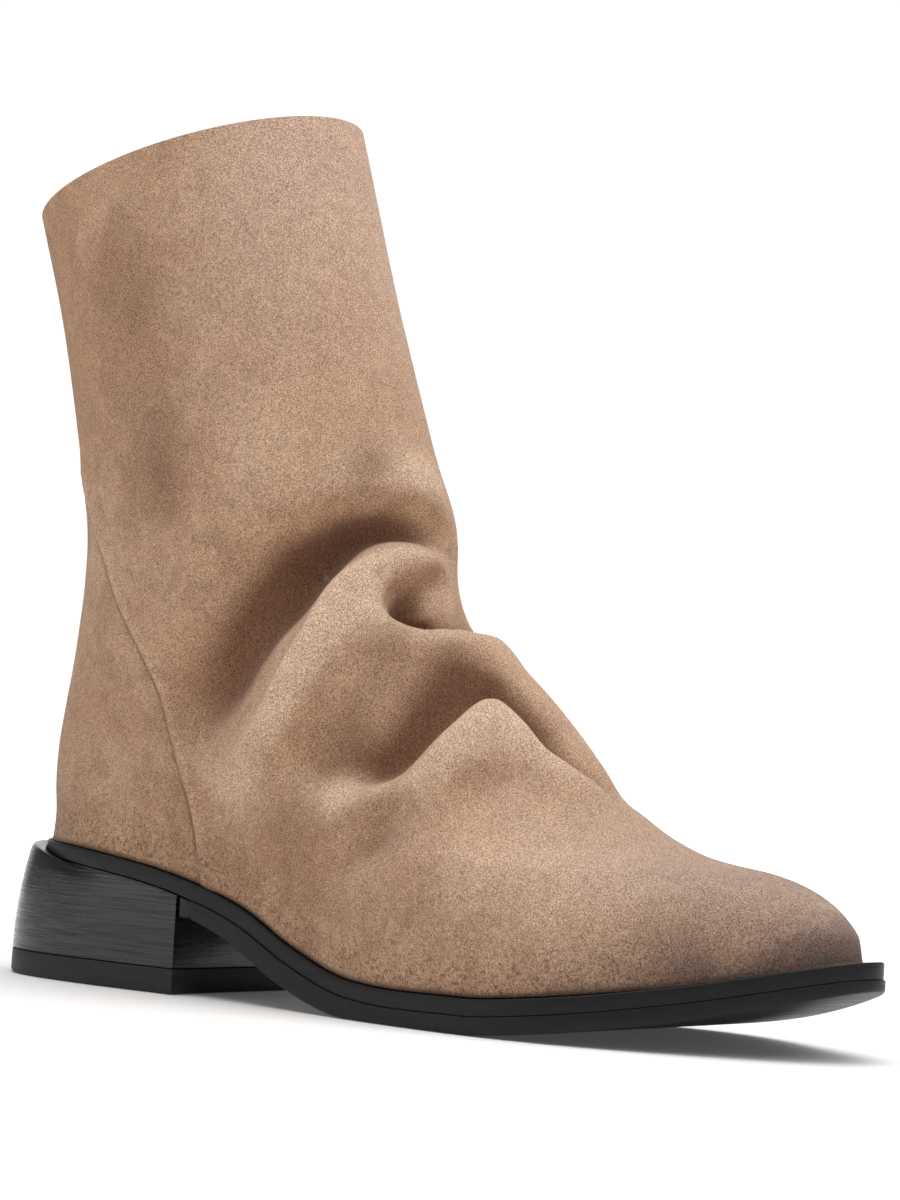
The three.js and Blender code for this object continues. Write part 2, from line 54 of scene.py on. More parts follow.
SEAT_INSET = 2.5
SEAT_LENGTH = 42.0
HEEL_RADIUS = 30.0
TOE_RADIUS = 15.0
TOE_DRIFT = 2.5
UPPER_WALL = 2.0
SEAM_RAISE = 0.9
HEEL_BREAST = 75.6
HEEL_FLARE = 8.8
CUP_RISE = 3.3
CUP_LENGTH = 34.0
CUP_STEP = 0.3
TOP_LIFT_THICKNESS = 7.0
BREAST_ROLL_LENGTH = 5.0
BREAST_ROLL_ROUND = 1.8
BREAST_ROLL_INSET = 0.6
FIT_GAP = 0.3
LAYER_GAP = 0.12
SLOPE_STEP = 2.0


def hermite(rows, at):
    """Smooth curve through rows of (place, value, ...) at an array of places."""
    rows = np.asarray(rows, float)
    xs = rows[:, 0]
    ys = rows[:, 1:]
    at = np.clip(np.asarray(at, float), xs[0], xs[-1])
    width = np.diff(xs)
    slope = np.diff(ys, axis=0) / width[:, None]
    tangent = np.empty_like(ys)
    tangent[0] = slope[0]
    tangent[-1] = slope[-1]
    both = width[:-1] + width[1:]
    tangent[1:-1] = (slope[:-1] * width[1:, None] + slope[1:] * width[:-1, None]) / both[:, None]
    i = np.clip(np.searchsorted(xs, at, side="right") - 1, 0, len(xs) - 2)
    w = width[i][..., None]
    s = ((at - xs[i]) / width[i])[..., None]
    value = (1 + 2 * s) * (1 - s) ** 2 * ys[i] + s * (1 - s) ** 2 * w * tangent[i]
    value = value + s * s * (3 - 2 * s) * ys[i + 1] + s * s * (s - 1) * w * tangent[i + 1]
    return value[..., 0] if ys.shape[1] == 1 else value


def smooth(value):
    """Soft step from 0 to 1."""
    s = np.clip(value, 0, 1)
    return s * s * (3 - 2 * s)


# Sole outline: share of the length, lateral and medial half-width as shares of the ball's
OUTLINE = [
    (0.10, 0.635, 0.655), (0.18, 0.700, 0.700), (0.28, 0.720, 0.655), (0.38, 0.765, 0.600),
    (0.48, 0.850, 0.635), (0.58, 0.957, 0.800), (0.67, 1.000, 0.945), (0.75, 0.957, 1.000),
    (0.83, 0.817, 0.855), (0.90, 0.613, 0.622),
]
# Sole side: share of the length, underside as a share of the seat's, share of the thickness
SIDE = np.array([
    (0.00, 1.000, 1.00), (0.13, 0.927, 1.00), (0.26, 0.761, 1.00), (0.34, 0.542, 1.08),
    (0.42, 0.208, 1.17), (0.50, 0.010, 1.12), (0.55, -0.004, 1.00), (0.66, -0.008, 1.00),
    (0.76, 0.081, 1.00), (0.88, 0.276, 0.96), (1.00, 0.578, 0.82),
])
# Upper's rings: t, front x, front rise, back x, back rise, lateral, medial, widest, foot, dip
RINGS = np.array([
    (0.00, 0.978, 0.008, 0.016, 0.000, 0.935, 0.944, 0.60, 1.0, 1.00),
    (0.06, 0.968, 0.036, 0.022, 0.034, 0.957, 0.967, 0.60, 1.0, 1.00),
    (0.12, 0.942, 0.071, 0.018, 0.074, 0.957, 0.956, 0.58, 0.9, 0.85),
    (0.20, 0.885, 0.116, 0.014, 0.123, 0.935, 0.922, 0.55, 0.6, 0.60),
    (0.30, 0.793, 0.161, 0.016, 0.179, 0.882, 0.867, 0.52, 0.3, 0.35),
    (0.40, 0.716, 0.226, 0.022, 0.229, 0.860, 0.844, 0.50, 0.1, 0.15),
    (0.50, 0.586, 0.379, 0.032, 0.284, 0.850, 0.844, 0.50, 0.0, 0.00),
    (0.58, 0.498, 0.462, 0.042, 0.339, 0.850, 0.844, 0.50, 0.0, 0.00),
    (0.66, 0.477, 0.539, 0.043, 0.403, 0.850, 0.844, 0.50, 0.0, 0.00),
    (0.78, 0.432, 0.674, 0.019, 0.538, 0.828, 0.833, 0.50, 0.0, 0.00),
    (0.89, 0.381, 0.820, -0.013, 0.682, 0.806, 0.811, 0.50, 0.0, 0.00),
    (1.00, 0.329, 1.000, -0.054, 0.820, 0.785, 0.789, 0.50, 0.0, 0.00),
])
# Steps in degrees and in t for the slopes of the upper's base form
ANGLE_STEP = 1.0
PLACE_STEP = 0.008


def round_shares(column, ball):
    """Outline's half-widths as shares of an oval's, which makes both ends round."""
    rows = [(0.0, math.sqrt(2 * HEEL_RADIUS * SOLE_LENGTH) / 2)]
    for row in OUTLINE:
        share = row[0]
        rows.append((share, row[column] * ball / (2 * math.sqrt(share * (1 - share)))))
    rows.append((1.0, math.sqrt(2 * TOE_RADIUS * SOLE_LENGTH) / 2))
    return np.array(rows)


LATERAL_SHARES = round_shares(1, BALL_LATERAL)
MEDIAL_SHARES = round_shares(2, BALL_MEDIAL)


def half_width(share, side):
    """Sole's half-width at shares of its length; side is -1 for lateral and 1 for medial."""
    rows = LATERAL_SHARES if side < 0 else MEDIAL_SHARES
    return hermite(rows, share) * 2 * np.sqrt(np.maximum(share * (1 - share), 0))


def centre(share):
    """Sole's middle line, which drifts to the medial side towards the toe."""
    return TOE_DRIFT * np.maximum((share - 0.5) / 0.5, 0) ** 2


def underside(x):
    """Height of the sole's underside."""
    return np.maximum(0, SEAT_UNDERSIDE * hermite(SIDE[:, :2], np.asarray(x, float) / SOLE_LENGTH))


def upright(x, thickness):
    """Thickness square to the sole, measured straight up."""
    slope = (underside(x + SLOPE_STEP) - underside(x - SLOPE_STEP)) / (2 * SLOPE_STEP)
    return thickness * np.sqrt(1 + slope * slope)


def sole_top(x):
    """Height of the sole's top."""
    x = np.asarray(x, float)
    return underside(x) + upright(x, SOLE_THICKNESS * hermite(SIDE[:, [0, 2]], x / SOLE_LENGTH))


# The frame's origin in these coordinates, from the outsole's toe and sides
outsole_low, outsole_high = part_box("outsole")
shares = np.linspace(0, 1, 4001)
ORIGIN_X = SOLE_LENGTH - outsole_high[0] / MM
ORIGIN_Y = float(np.min(centre(shares) - half_width(shares, -1))) - outsole_low[1] / MM

UPPER_HEIGHT = BOOT_HEIGHT - float(sole_top(SOLE_LENGTH * RINGS[-1, 1])) - FIT_GAP


def base_point(angle, t):
    """Upper's base form at angles (degrees) and places t, arrays of one shape."""
    angle, t = np.broadcast_arrays(np.asarray(angle, float), np.asarray(t, float))
    ring = hermite(RINGS, t)
    front_x, front_rise, back_x, back_rise, lateral, medial, widest, foot, dip = np.moveaxis(ring, -1, 0)
    u = np.radians(angle)
    on_lateral = np.sin(u) >= 0
    side = np.where(on_lateral, -1.0, 1.0)
    reach = np.abs(np.cos(u))
    oval_x = np.where(np.cos(u) >= 0, widest + (1 - widest) * reach, widest * (1 - reach))
    oval_y = np.abs(np.sin(u))
    foot_x = (1 + np.cos(u)) / 2
    ball = np.where(on_lateral, BALL_LATERAL, BALL_MEDIAL)
    foot_y = np.where(on_lateral, half_width(foot_x, -1), half_width(foot_x, 1)) / ball
    share_x = foot * foot_x + (1 - foot) * oval_x
    share_y = foot * foot_y + (1 - foot) * oval_y
    fx = SOLE_LENGTH * front_x
    bx = SOLE_LENGTH * back_x
    x = bx + (fx - bx) * share_x
    y = side * ball * np.where(on_lateral, lateral, medial) * share_y
    y = y + foot * centre(np.maximum(share_x, 0.5))
    feather = smooth(t / RINGS[1, 0])
    front_lift = UPPER_HEIGHT * front_rise * feather
    back_lift = UPPER_HEIGHT * back_rise * feather
    chord = sole_top(bx) + (sole_top(fx) - sole_top(bx)) * share_x
    z = chord + dip * (sole_top(x) - chord) + FIT_GAP + back_lift + (front_lift - back_lift) * share_x
    return np.stack([x, y, z], -1)


def unit(v):
    """Vectors at length 1."""
    return v / np.maximum(np.linalg.norm(v, axis=-1, keepdims=True), 1e-9)


def base_axes(angle, t):
    """Outward normal and the direction up the upper."""
    around = base_point(angle + ANGLE_STEP, t) - base_point(angle - ANGLE_STEP, t)
    above = base_point(angle, np.minimum(t + PLACE_STEP, 1))
    up = above - base_point(angle, np.maximum(t - PLACE_STEP, 0))
    normal = unit(np.cross(up, around))
    return normal, unit(up)


# Folds, placed one by one. Each is a name, the mm it slides up the upper, and rows along its line of: angle,
# t, raise in mm (negative for a trough), half-width in mm on its upper side, half-width on its lower side
FOLDS = [
    ("throat_trough", 0.0, [
        (111, 0.240, 0.0, 12, 8), (106, 0.318, -2.2, 14, 8), (99, 0.400, -4.8, 15, 8),
        (88, 0.462, -7.2, 15, 7.5), (73, 0.527, -9.4, 14, 6.5), (56, 0.578, -11.2, 12, 5.5),
        (41, 0.624, -12.2, 10, 5.2), (31, 0.648, -12.0, 9, 5.5), (18, 0.660, -9.0, 8, 5.5),
        (2, 0.656, -5.0, 7, 5.5), (-9, 0.645, -2.2, 7, 5), (-22, 0.635, 0.0, 7, 5),
    ]),
    ("shaft_bulge", -1.0, [
        (72, 0.660, 0.0, 14, 9), (50, 0.690, 1.5, 14, 9), (31, 0.705, 2.8, 13, 8), (17, 0.713, 4.0, 12, 7),
        (2, 0.708, 3.4, 12, 7), (-12, 0.690, 2.0, 12, 8), (-35, 0.670, 0.8, 12, 10),
        (-60, 0.660, 0.0, 12, 10),
    ]),
    ("instep_roll", 1.5, [
        (104, 0.215, 0.0, 5, 10), (98, 0.305, 1.6, 4.5, 11), (90, 0.375, 2.8, 4.2, 12),
        (79, 0.441, 3.8, 4, 12), (66, 0.494, 4.6, 4, 13), (47.5, 0.560, 5.5, 4, 13),
        (34.5, 0.604, 6.0, 4, 11), (25.5, 0.628, 5.5, 4, 9), (12, 0.632, 4.2, 4, 8), (1, 0.622, 2.0, 5, 9),
        (-9, 0.612, 0.4, 7, 9), (-20, 0.605, 0.0, 7, 8),
    ]),
    ("throat_pit", 0.0, [
        (-4, 0.604, 0.0, 3.5, 3.5), (6, 0.595, -3.0, 4, 4), (14, 0.585, -5.5, 4, 4.5),
        (21, 0.572, -8.5, 4.5, 5), (24, 0.560, -11.5, 5, 5), (20, 0.551, -9.0, 5.5, 4),
        (15, 0.548, -4.5, 5, 3.5), (9, 0.546, 0.0, 5, 3.5),
    ]),
    ("throat_shelf", 0.0, [
        (24, 0.556, 0.0, 6, 3), (17, 0.552, -3.4, 7, 3.4), (10, 0.549, -5.2, 9, 3.5),
        (1, 0.549, -4.6, 10, 4), (-8, 0.552, -4.0, 11, 4.5), (-20, 0.553, -3.8, 11, 5),
        (-36, 0.547, -2.0, 11, 6), (-62, 0.535, 0.0, 10, 6),
    ]),
    ("vamp_lip", 2.2, [
        (33, 0.590, 0.0, 2.2, 6), (31, 0.572, 2.0, 2.2, 8), (30, 0.552, 4.0, 2.2, 9),
        (27, 0.538, 4.8, 2.2, 10), (17, 0.532, 3.8, 2.2, 9), (6, 0.535, 2.8, 2.2, 8),
        (-6, 0.535, 2.2, 2.2, 8), (-20, 0.531, 1.6, 3, 9), (-42, 0.520, 0.0, 4, 10),
    ]),
    ("panel_hollow", 0.0, [
        (80, 0.400, 0.0, 12, 12), (66, 0.440, -2.2, 14, 10), (50, 0.485, -2.8, 13, 10),
        (36, 0.508, -1.8, 9, 7), (22, 0.512, 0.0, 7, 6),
    ]),
    ("upper_band", 0.0, [
        (2, 0.523, 0.0, 4, 4), (12, 0.516, -2.0, 4.5, 4), (25, 0.502, -2.8, 4.5, 4),
        (39, 0.481, -2.2, 6, 5), (52, 0.462, 0.0, 7, 6),
    ]),
    ("vamp_trough", 0.0, [
        (92, 0.335, 0.0, 12, 8), (79.5, 0.360, -2.8, 12, 7), (70.5, 0.379, -5.0, 12, 6),
        (62, 0.397, -7.5, 11, 5), (47.5, 0.443, -8.5, 10, 4.5), (31.5, 0.474, -9.0, 8, 4.5),
        (19, 0.489, -8.8, 8, 4.5), (9.5, 0.486, -8.2, 8, 4.5), (8.0, 0.463, -7.2, 7, 3.8),
        (6, 0.439, -5.8, 6.5, 3.5), (0, 0.424, -4.2, 6, 4), (-10, 0.412, -2.6, 6, 5),
        (-30, 0.405, 0.0, 6, 6),
    ]),
    ("vamp_roll", 0.8, [
        (86, 0.270, 0.0, 5, 12), (72, 0.328, 1.8, 5, 13), (58, 0.392, 3.2, 4, 13),
        (46, 0.430, 3.8, 3.5, 12), (30.5, 0.461, 4.2, 3.5, 12), (24, 0.466, 4.2, 3.5, 11),
        (20.5, 0.454, 4.0, 3, 10), (19, 0.436, 3.6, 2.6, 9), (14, 0.425, 3.2, 2.4, 8),
        (7.5, 0.415, 2.2, 2.4, 7), (0, 0.400, 0.0, 3, 7),
    ]),
    ("vamp_valley", 0.0, [
        (56, 0.340, 0.0, 6, 6), (51.5, 0.356, -1.4, 7, 6), (43, 0.393, -2.2, 6, 6), (34, 0.412, -2.0, 6, 5),
        (26.5, 0.427, -1.2, 5, 5), (20, 0.432, 0.0, 5, 5),
    ]),
    ("side_valley", 0.0, [
        (94, 0.120, 0.0, 10, 8), (84.5, 0.189, -2.4, 9, 6), (76.5, 0.238, -3.6, 8, 5),
        (68.5, 0.300, -2.8, 7, 5), (60, 0.340, 0.0, 8, 7),
    ]),
    ("vamp_spine", 0.0, [
        (-22, 0.505, 0.0, 9, 9), (-20, 0.480, 0.9, 10, 10), (-19, 0.450, 1.1, 10, 10),
        (-18, 0.425, 0.7, 9, 9), (-17, 0.400, 0.0, 8, 8),
    ]),
    ("toe_crown", 0.0, [
        (50, 0.160, 0.0, 14, 14), (25, 0.165, 0.8, 14, 14), (-10, 0.165, 1.2, 14, 14),
        (-30, 0.165, 0.9, 14, 14), (-60, 0.160, 0.0, 14, 14),
    ]),
]
FOLD_SAMPLES = 60
# A fold is worked out within this many of its greatest half-widths
FOLD_REACH = 3.0

# Tone patches, placed one by one: angle, t, radius in mm, darker (+) or lighter (-)
# The patches are partly nap tone and partly painted shade and painted light over creases and ridges
TONE_AND_SHADING_PATCHES = np.array([
    (92, 0.700, 17, 0.46), (88, 0.760, 15, 0.30), (23, 0.730, 8, 0.45), (33, 0.708, 9, 0.28),
    (10, 0.760, 10, 0.15), (66, 0.745, 22, -0.46), (52, 0.870, 18, -0.18), (96, 0.880, 16, 0.26),
    (30, 0.850, 12, 0.16), (104, 0.600, 14, -0.20), (72, 0.430, 10, 0.26), (60, 0.455, 10, 0.20),
    (46, 0.500, 9, 0.30), (36, 0.520, 8, 0.25), (24, 0.512, 7, 0.20), (105, 0.215, 14, -0.50),
    (96, 0.290, 10, -0.30), (71, 0.262, 10, 0.40), (82, 0.215, 9, 0.20), (77, 0.318, 8, -0.75),
    (62, 0.368, 7, -0.45), (34, 0.445, 8, -0.40), (24, 0.440, 7, -0.30), (13, 0.486, 7, 0.45),
    (4, 0.478, 7, 0.25), (18, 0.560, 6, 0.80), (20, 0.503, 7, 0.45), (12, 0.500, 7, 0.80),
    (8, 0.465, 7, 0.70), (32, 0.492, 7, 0.40), (82, 0.810, 30, 0.22), (84, 0.930, 24, 0.20),
    (52, 0.140, 20, -0.40), (64, 0.205, 12, -0.35), (66, 0.480, 7, -0.50), (80, 0.428, 7, -0.55),
    (50, 0.548, 6, -0.35), (40, 0.330, 14, -0.30), (30, 0.250, 16, -0.15), (-4, 0.585, 5, -0.35),
])


def tone_and_shading_sum(points):
    """Sum of the tone patches, with their painted shade and painted light, at the points."""
    total = np.zeros(points.shape[:-1])
    middles = base_point(TONE_AND_SHADING_PATCHES[:, 0], TONE_AND_SHADING_PATCHES[:, 1])
    for middle, radius, amount in zip(middles, TONE_AND_SHADING_PATCHES[:, 2], TONE_AND_SHADING_PATCHES[:, 3]):
        total += amount * np.exp(-(np.linalg.norm(points - middle, axis=-1) / radius) ** 2)
    return total


def sampled(rows, count):
    """Rows of values along a line, filled in smoothly at even steps."""
    rows = np.array(rows, float)
    return hermite(np.column_stack([np.linspace(0, 1, len(rows)), rows]), np.linspace(0, 1, count))


def nearest(points, line):
    """Nearest place on a line: the segment, the share along it, the gap to it and the gap's length."""
    best = np.full(len(points), np.inf)
    segment = np.zeros(len(points), int)
    share = np.zeros(len(points))
    for i in range(len(line) - 1):
        run = line[i + 1] - line[i]
        along = np.clip(((points - line[i]) @ run) / (run @ run), 0, 1)
        distance = np.linalg.norm(points - (line[i] + along[:, None] * run), axis=1)
        closer = distance < best
        best = np.where(closer, distance, best)
        segment = np.where(closer, i, segment)
        share = np.where(closer, along, share)
    start = line[segment]
    gap = points - (start + share[:, None] * (line[segment + 1] - start))
    return segment, share, gap, best


def fold_shift(points, axes):
    """Moves of the points by all the folds, and the sum of their raises."""
    normal, up = axes
    flat = points.reshape(-1, 3)
    raise_sum = np.zeros(len(flat))
    slide_sum = np.zeros(len(flat))
    steps = np.linspace(0, 1, FOLD_SAMPLES)
    for _, slide, rows in FOLDS:
        rows = np.array(rows, float)
        values = sampled(rows, FOLD_SAMPLES)
        line = base_point(values[:, 0], values[:, 1])
        line_normal, line_up = base_axes(values[:, 0], values[:, 1])
        across = unit(np.cross(line_normal, np.gradient(line, axis=0)))
        across = across * np.sign((across * line_up).sum(-1).mean())
        middle = line.mean(0)
        span = np.linalg.norm(line - middle, axis=1).max() + FOLD_REACH * rows[:, 3:].max()
        near = np.where(np.linalg.norm(flat - middle, axis=1) < span)[0]
        segment, share, gap, distance = nearest(flat[near], line)
        signed = (gap * (across[segment] + across[segment + 1]) / 2).sum(-1)
        place = (segment + share) / (len(line) - 1)
        height, above, below = (np.interp(place, steps, values[:, column]) for column in (2, 3, 4))
        width = below + (above - below) * smooth(0.5 + signed / (0.5 * (above + below)))
        bell = np.exp(-((distance / width) ** 2))
        raise_sum[near] += height * bell
        slide_sum[near] += slide * bell * np.abs(height) / np.abs(rows[:, 2]).max()
    shape = points.shape[:-1]
    raise_sum = raise_sum.reshape(shape)
    slide_sum = slide_sum.reshape(shape)
    return normal * raise_sum[..., None] + up * slide_sum[..., None], raise_sum


# Heel panel's seam: t, angle, share of its raise
SEAM = [
    (0.00, 114, 0.5), (0.08, 115, 1.0), (0.16, 115, 1.0), (0.22, 114.5, 1.0), (0.31, 113, 1.0),
    (0.41, 110.5, 1.0), (0.46, 111, 1.0), (0.52, 114, 1.0), (0.60, 120, 1.0), (0.65, 128.5, 0.9),
    (0.695, 138, 0.8), (0.73, 152, 0.7), (0.75, 180, 0.6),
]


SEAM_SAMPLES = 160
# Across the seam, in mm: the panel's edge as a ridge with a groove beside it, and where both end
RIDGE_AT = -1.0
RIDGE_WIDTH = 1.5
GROOVE_AT = 1.1
GROOVE_WIDTH = 0.7
GROOVE_DEPTH = 0.35
SEAM_REACH = 8.0
# The seam is this much wider on the medial side, and on the lateral one beyond an angle and over a stretch
SEAM_SOFTEST = 2.6
SOFT_FROM = 122
SOFT_OVER = 14
# Half-widths of the seam's dark and light lines
DARK_LINE_WIDTH = 0.55
LIGHT_LINE_WIDTH = 1.3


def seam_distance(points, side):
    """Distance from one side's seam, the signed one across it, and the seam's share of its raise there."""
    values = sampled(SEAM, SEAM_SAMPLES)
    line = base_point(side * values[:, 1], values[:, 0])
    normal, _ = base_axes(side * values[:, 1], values[:, 0])
    across = unit(np.cross(normal, np.gradient(line, axis=0))) * side
    segment, _, gap, distance = nearest(points.reshape(-1, 3), line)
    signed = (gap * across[segment]).sum(-1)
    shape = points.shape[:-1]
    return distance.reshape(shape), signed.reshape(shape), values[segment, 2].reshape(shape)


# Grid of the upper: stretches of angle and of t, with the number of steps in each
ANGLES = [(-180, -100, 34), (-100, -34, 40), (-34, 96, 190), (96, 128, 44), (128, 180, 26)]
PLACES = [
    (0, 0.03, 6), (0.03, 0.30, 38), (0.30, 0.40, 28), (0.40, 0.50, 46), (0.50, 0.59, 50), (0.59, 0.72, 48),
    (0.72, 0.98, 20), (0.98, 1.0, 4),
]
# Stretch of t with the deep folds, and how many outer rings go to one inner ring there and elsewhere
DEEP_STRETCH = (0.40, 0.60)
DEEP_STRIDE = 3
PLAIN_STRIDE = 6
# Height over the sole that the inner wall is given for its colour, in mm
INNER_OVER_SOLE = 50.0


def spread(rows):
    """Places at even steps in each stretch, without the last end."""
    values = []
    for start, end, count in rows:
        values.extend(np.linspace(start, end, count, endpoint=False))
    return np.array(values)


def build_mesh(name, vertices, faces):
    """Mesh object from points in mm in the working frame."""
    moved = (np.asarray(vertices, float) - np.array([ORIGIN_X, ORIGIN_Y, 0.0])) * MM
    faces = [tuple(int(i) for i in face) for face in faces]
    # faces that give a negative volume are turned round
    fans = np.array([(f[0], f[k], f[k + 1]) for f in faces for k in range(1, len(f) - 1)])
    a, b, c = (moved[fans[:, k]] for k in range(3))
    if np.einsum("ij,ij->i", a, np.cross(b, c)).sum() < 0:
        faces = [face[::-1] for face in faces]
    mesh = bpy.data.meshes.new(name)
    mesh.from_pydata(moved.tolist(), [], faces)
    mesh.validate()
    mesh.update()
    obj = bpy.data.objects.new(name, mesh)
    bpy.context.scene.collection.objects.link(obj)
    return obj


def shade(obj, angle):
    """Smooth shading, sharp at edges over an angle in degrees."""
    obj.data.shade_smooth()
    obj.data.set_sharp_from_angle(angle=math.radians(angle))


def point_attribute(obj, name, values):
    """Value at each point, for the material."""
    attribute = obj.data.attributes.new(name, "FLOAT", "POINT")
    attribute.data.foreach_set("value", np.asarray(values, np.float32).ravel())


def make_upper():
    """Hollow upper: an outer grid with the folds and the seam, and a coarser inner wall."""
    angles = spread(ANGLES)
    places = np.append(spread(PLACES), 1.0)
    A, T = np.meshgrid(angles, places)
    rows, n = A.shape
    base = base_point(A, T)
    axes = base_axes(A, T)
    move, depth = fold_shift(base, axes)
    folded = base + move
    lateral = seam_distance(base, 1)
    medial = seam_distance(base, -1)
    on_lateral = lateral[0] < medial[0]
    distance, signed, share = (np.where(on_lateral, left, right) for left, right in zip(lateral, medial))
    soft = np.where(A > 0, 1 + (SEAM_SOFTEST - 1) * smooth((A - SOFT_FROM) / SOFT_OVER), SEAM_SOFTEST)

    def across_seam(middle, width):
        bell = np.exp(-(((signed - middle) / (width * soft)) ** 2))
        return share * bell * (distance < SEAM_REACH)

    ridge = SEAM_RAISE * across_seam(RIDGE_AT, RIDGE_WIDTH)
    groove = GROOVE_DEPTH * across_seam(GROOVE_AT, GROOVE_WIDTH)
    outer = folded + axes[0] * (ridge - groove)[..., None]

    # The wall goes in level at the sole and square to the folded surface higher up
    around = np.roll(folded, -1, 1) - np.roll(folded, 1, 1)
    normal = unit(np.cross(np.gradient(folded, axis=0), around))
    flat = unit(np.stack([-around[..., 1], around[..., 0], np.zeros(A.shape)], -1))
    level = unit(flat + (normal - flat) * smooth(T / RINGS[1, 0])[..., None])
    deep = (places > DEEP_STRETCH[0]) & (places < DEEP_STRETCH[1])
    strides = [[0, rows - 1], np.where(deep)[0][::DEEP_STRIDE], np.where(~deep)[0][::PLAIN_STRIDE]]
    inner_rows = np.unique(np.concatenate(strides))
    inner = (folded - level * UPPER_WALL)[inner_rows]
    inner[0, :, 2] = sole_top(inner[0, :, 0]) + FIT_GAP

    faces = []
    i = np.arange(n)
    j = (i + 1) % n

    def quads(a, b, c, d):
        faces.extend(np.column_stack([a, b, c, d]).tolist())

    for r in range(rows - 1):
        low, high = r * n, (r + 1) * n
        quads(low + i, low + j, high + j, high + i)
    inner_start = rows * n
    for r in range(len(inner_rows) - 1):
        low, high = inner_start + r * n, inner_start + (r + 1) * n
        quads(low + i, high + i, high + j, low + j)
    top_outer = (rows - 1) * n
    top_inner = inner_start + (len(inner_rows) - 1) * n
    quads(top_outer + i, top_outer + j, top_inner + j, top_inner + i)
    quads(i, inner_start + i, inner_start + j, j)
    obj = build_mesh("suede_upper", np.vstack([outer.reshape(-1, 3), inner.reshape(-1, 3)]), faces)

    def attribute(name, outer_values, inner_values):
        point_attribute(obj, name, np.concatenate([outer_values.ravel(), inner_values]))

    # The inner wall's lowest ring lies in the seam to the sole and is coloured as the outside
    inner_share = np.ones(len(inner_rows) * n)
    inner_share[:n] = 0.0
    none = np.zeros(len(inner_share))
    attribute("over_sole", outer[..., 2] - sole_top(outer[..., 0]), INNER_OVER_SOLE * inner_share)
    attribute("fold", depth, none)
    # The tone attribute carries nap tone together with painted shade and painted light
    attribute("tone", tone_and_shading_sum(base), none)
    attribute("seam_dark", across_seam(GROOVE_AT, DARK_LINE_WIDTH) / soft, none)
    attribute("seam_light", across_seam(RIDGE_AT, LIGHT_LINE_WIDTH), none)
    attribute("inside", np.zeros(A.shape), inner_share)
    shade(obj, 60)
    return obj


def loft(name, layers, tip_end=True):
    """Closed body from layers of (left, right) points from heel to toe, top layer first."""
    vertices = []
    for left, right in layers:
        vertices.extend(left)
        vertices.extend(right[::-1][1 if tip_end else 0:-1])
    count = len(layers[0][0])
    size = len(vertices) // len(layers)
    last = size * (len(layers) - 1)
    faces = []
    for start in range(0, last, size):
        for i in range(size):
            j = (i + 1) % size
            faces.append((start + i, start + size + i, start + size + j, start + j))

    def cap(start, reverse):
        right = [start] + [start + size - i for i in range(1, count - (1 if tip_end else 0))]
        if tip_end:
            right.append(start + count - 1)
        for i in range(count - 1):
            corners = list(dict.fromkeys([start + i, start + i + 1, right[i + 1], right[i]]))
            faces.append(tuple(corners[::-1] if reverse else corners))

    cap(0, False)
    cap(last, True)
    return build_mesh(name, np.array(vertices), faces)


def end_shares(count):
    """Shares of a length, closer together towards both ends."""
    return (1 - np.cos(np.pi * np.arange(count + 1) / count)) / 2


def outline_point(share, side, inset):
    """Points of the sole's outline, moved in square to it."""
    step = 0.1 * np.minimum(share, 1 - share)
    low, high = share - step, share + step
    run_x = (high - low) * SOLE_LENGTH
    run_y = centre(high) - centre(low) + side * (half_width(high, side) - half_width(low, side))
    length = np.maximum(np.hypot(run_x, run_y), 1e-9)
    x = share * SOLE_LENGTH + inset * side * run_y / length
    y = centre(share) + side * half_width(share, side) - inset * side * run_x / length
    tip = step == 0
    x = np.where(tip, share * SOLE_LENGTH + inset * (1 - 2 * share), x)
    return x, np.where(tip, centre(share), y)


def inset_layer(share, inset, height):
    """Left and right points of the outline at some shares, moved in, at heights from a function of x."""
    sides = []
    for side in (-1, 1):
        x, y = outline_point(share, side, inset)
        sides.append(np.column_stack([x, y, height(x)]))
    return sides


def welt_underside(x):
    """Height of the welt's underside."""
    return sole_top(x) - upright(x, WELT_THICKNESS)


def welt_inset(share):
    """Welt's distance from the sole's outline, greater inside the heel's cup."""
    return WELT_SETBACK + SEAT_INSET * smooth(1 - share * SOLE_LENGTH / SEAT_LENGTH)


ROUND_STEPS = 4


def rounded(top, bottom, top_round, bottom_round):
    """Insets and heights down a side wall with rounded edges between two heights."""
    rows = []
    for i in range(ROUND_STEPS + 1):
        a = math.pi / 2 * i / ROUND_STEPS
        rows.append((top_round * (1 - math.sin(a)), lambda x, a=a: top(x) - top_round * (1 - math.cos(a))))
    for i in range(ROUND_STEPS + 1):
        a = math.pi / 2 * (1 - i / ROUND_STEPS)
        inset = bottom_round * (1 - math.sin(a))
        rows.append((inset, lambda x, a=a: bottom(x) + bottom_round * (1 - math.cos(a))))
    return rows


# Rounding of the top and the lower edge in mm, and steps along the length
WELT_ROUNDS = (0.6, 0.15)
WELT_STEPS = 170
OUTSOLE_ROUNDS = (0.2, 0.7)
OUTSOLE_STEPS = 140


def make_welt():
    share = end_shares(WELT_STEPS)
    rows = rounded(sole_top, welt_underside, *WELT_ROUNDS)
    layers = [inset_layer(share, welt_inset(share) + inset, height) for inset, height in rows]
    obj = loft("welt_layer", layers)
    shade(obj, 50)
    return obj


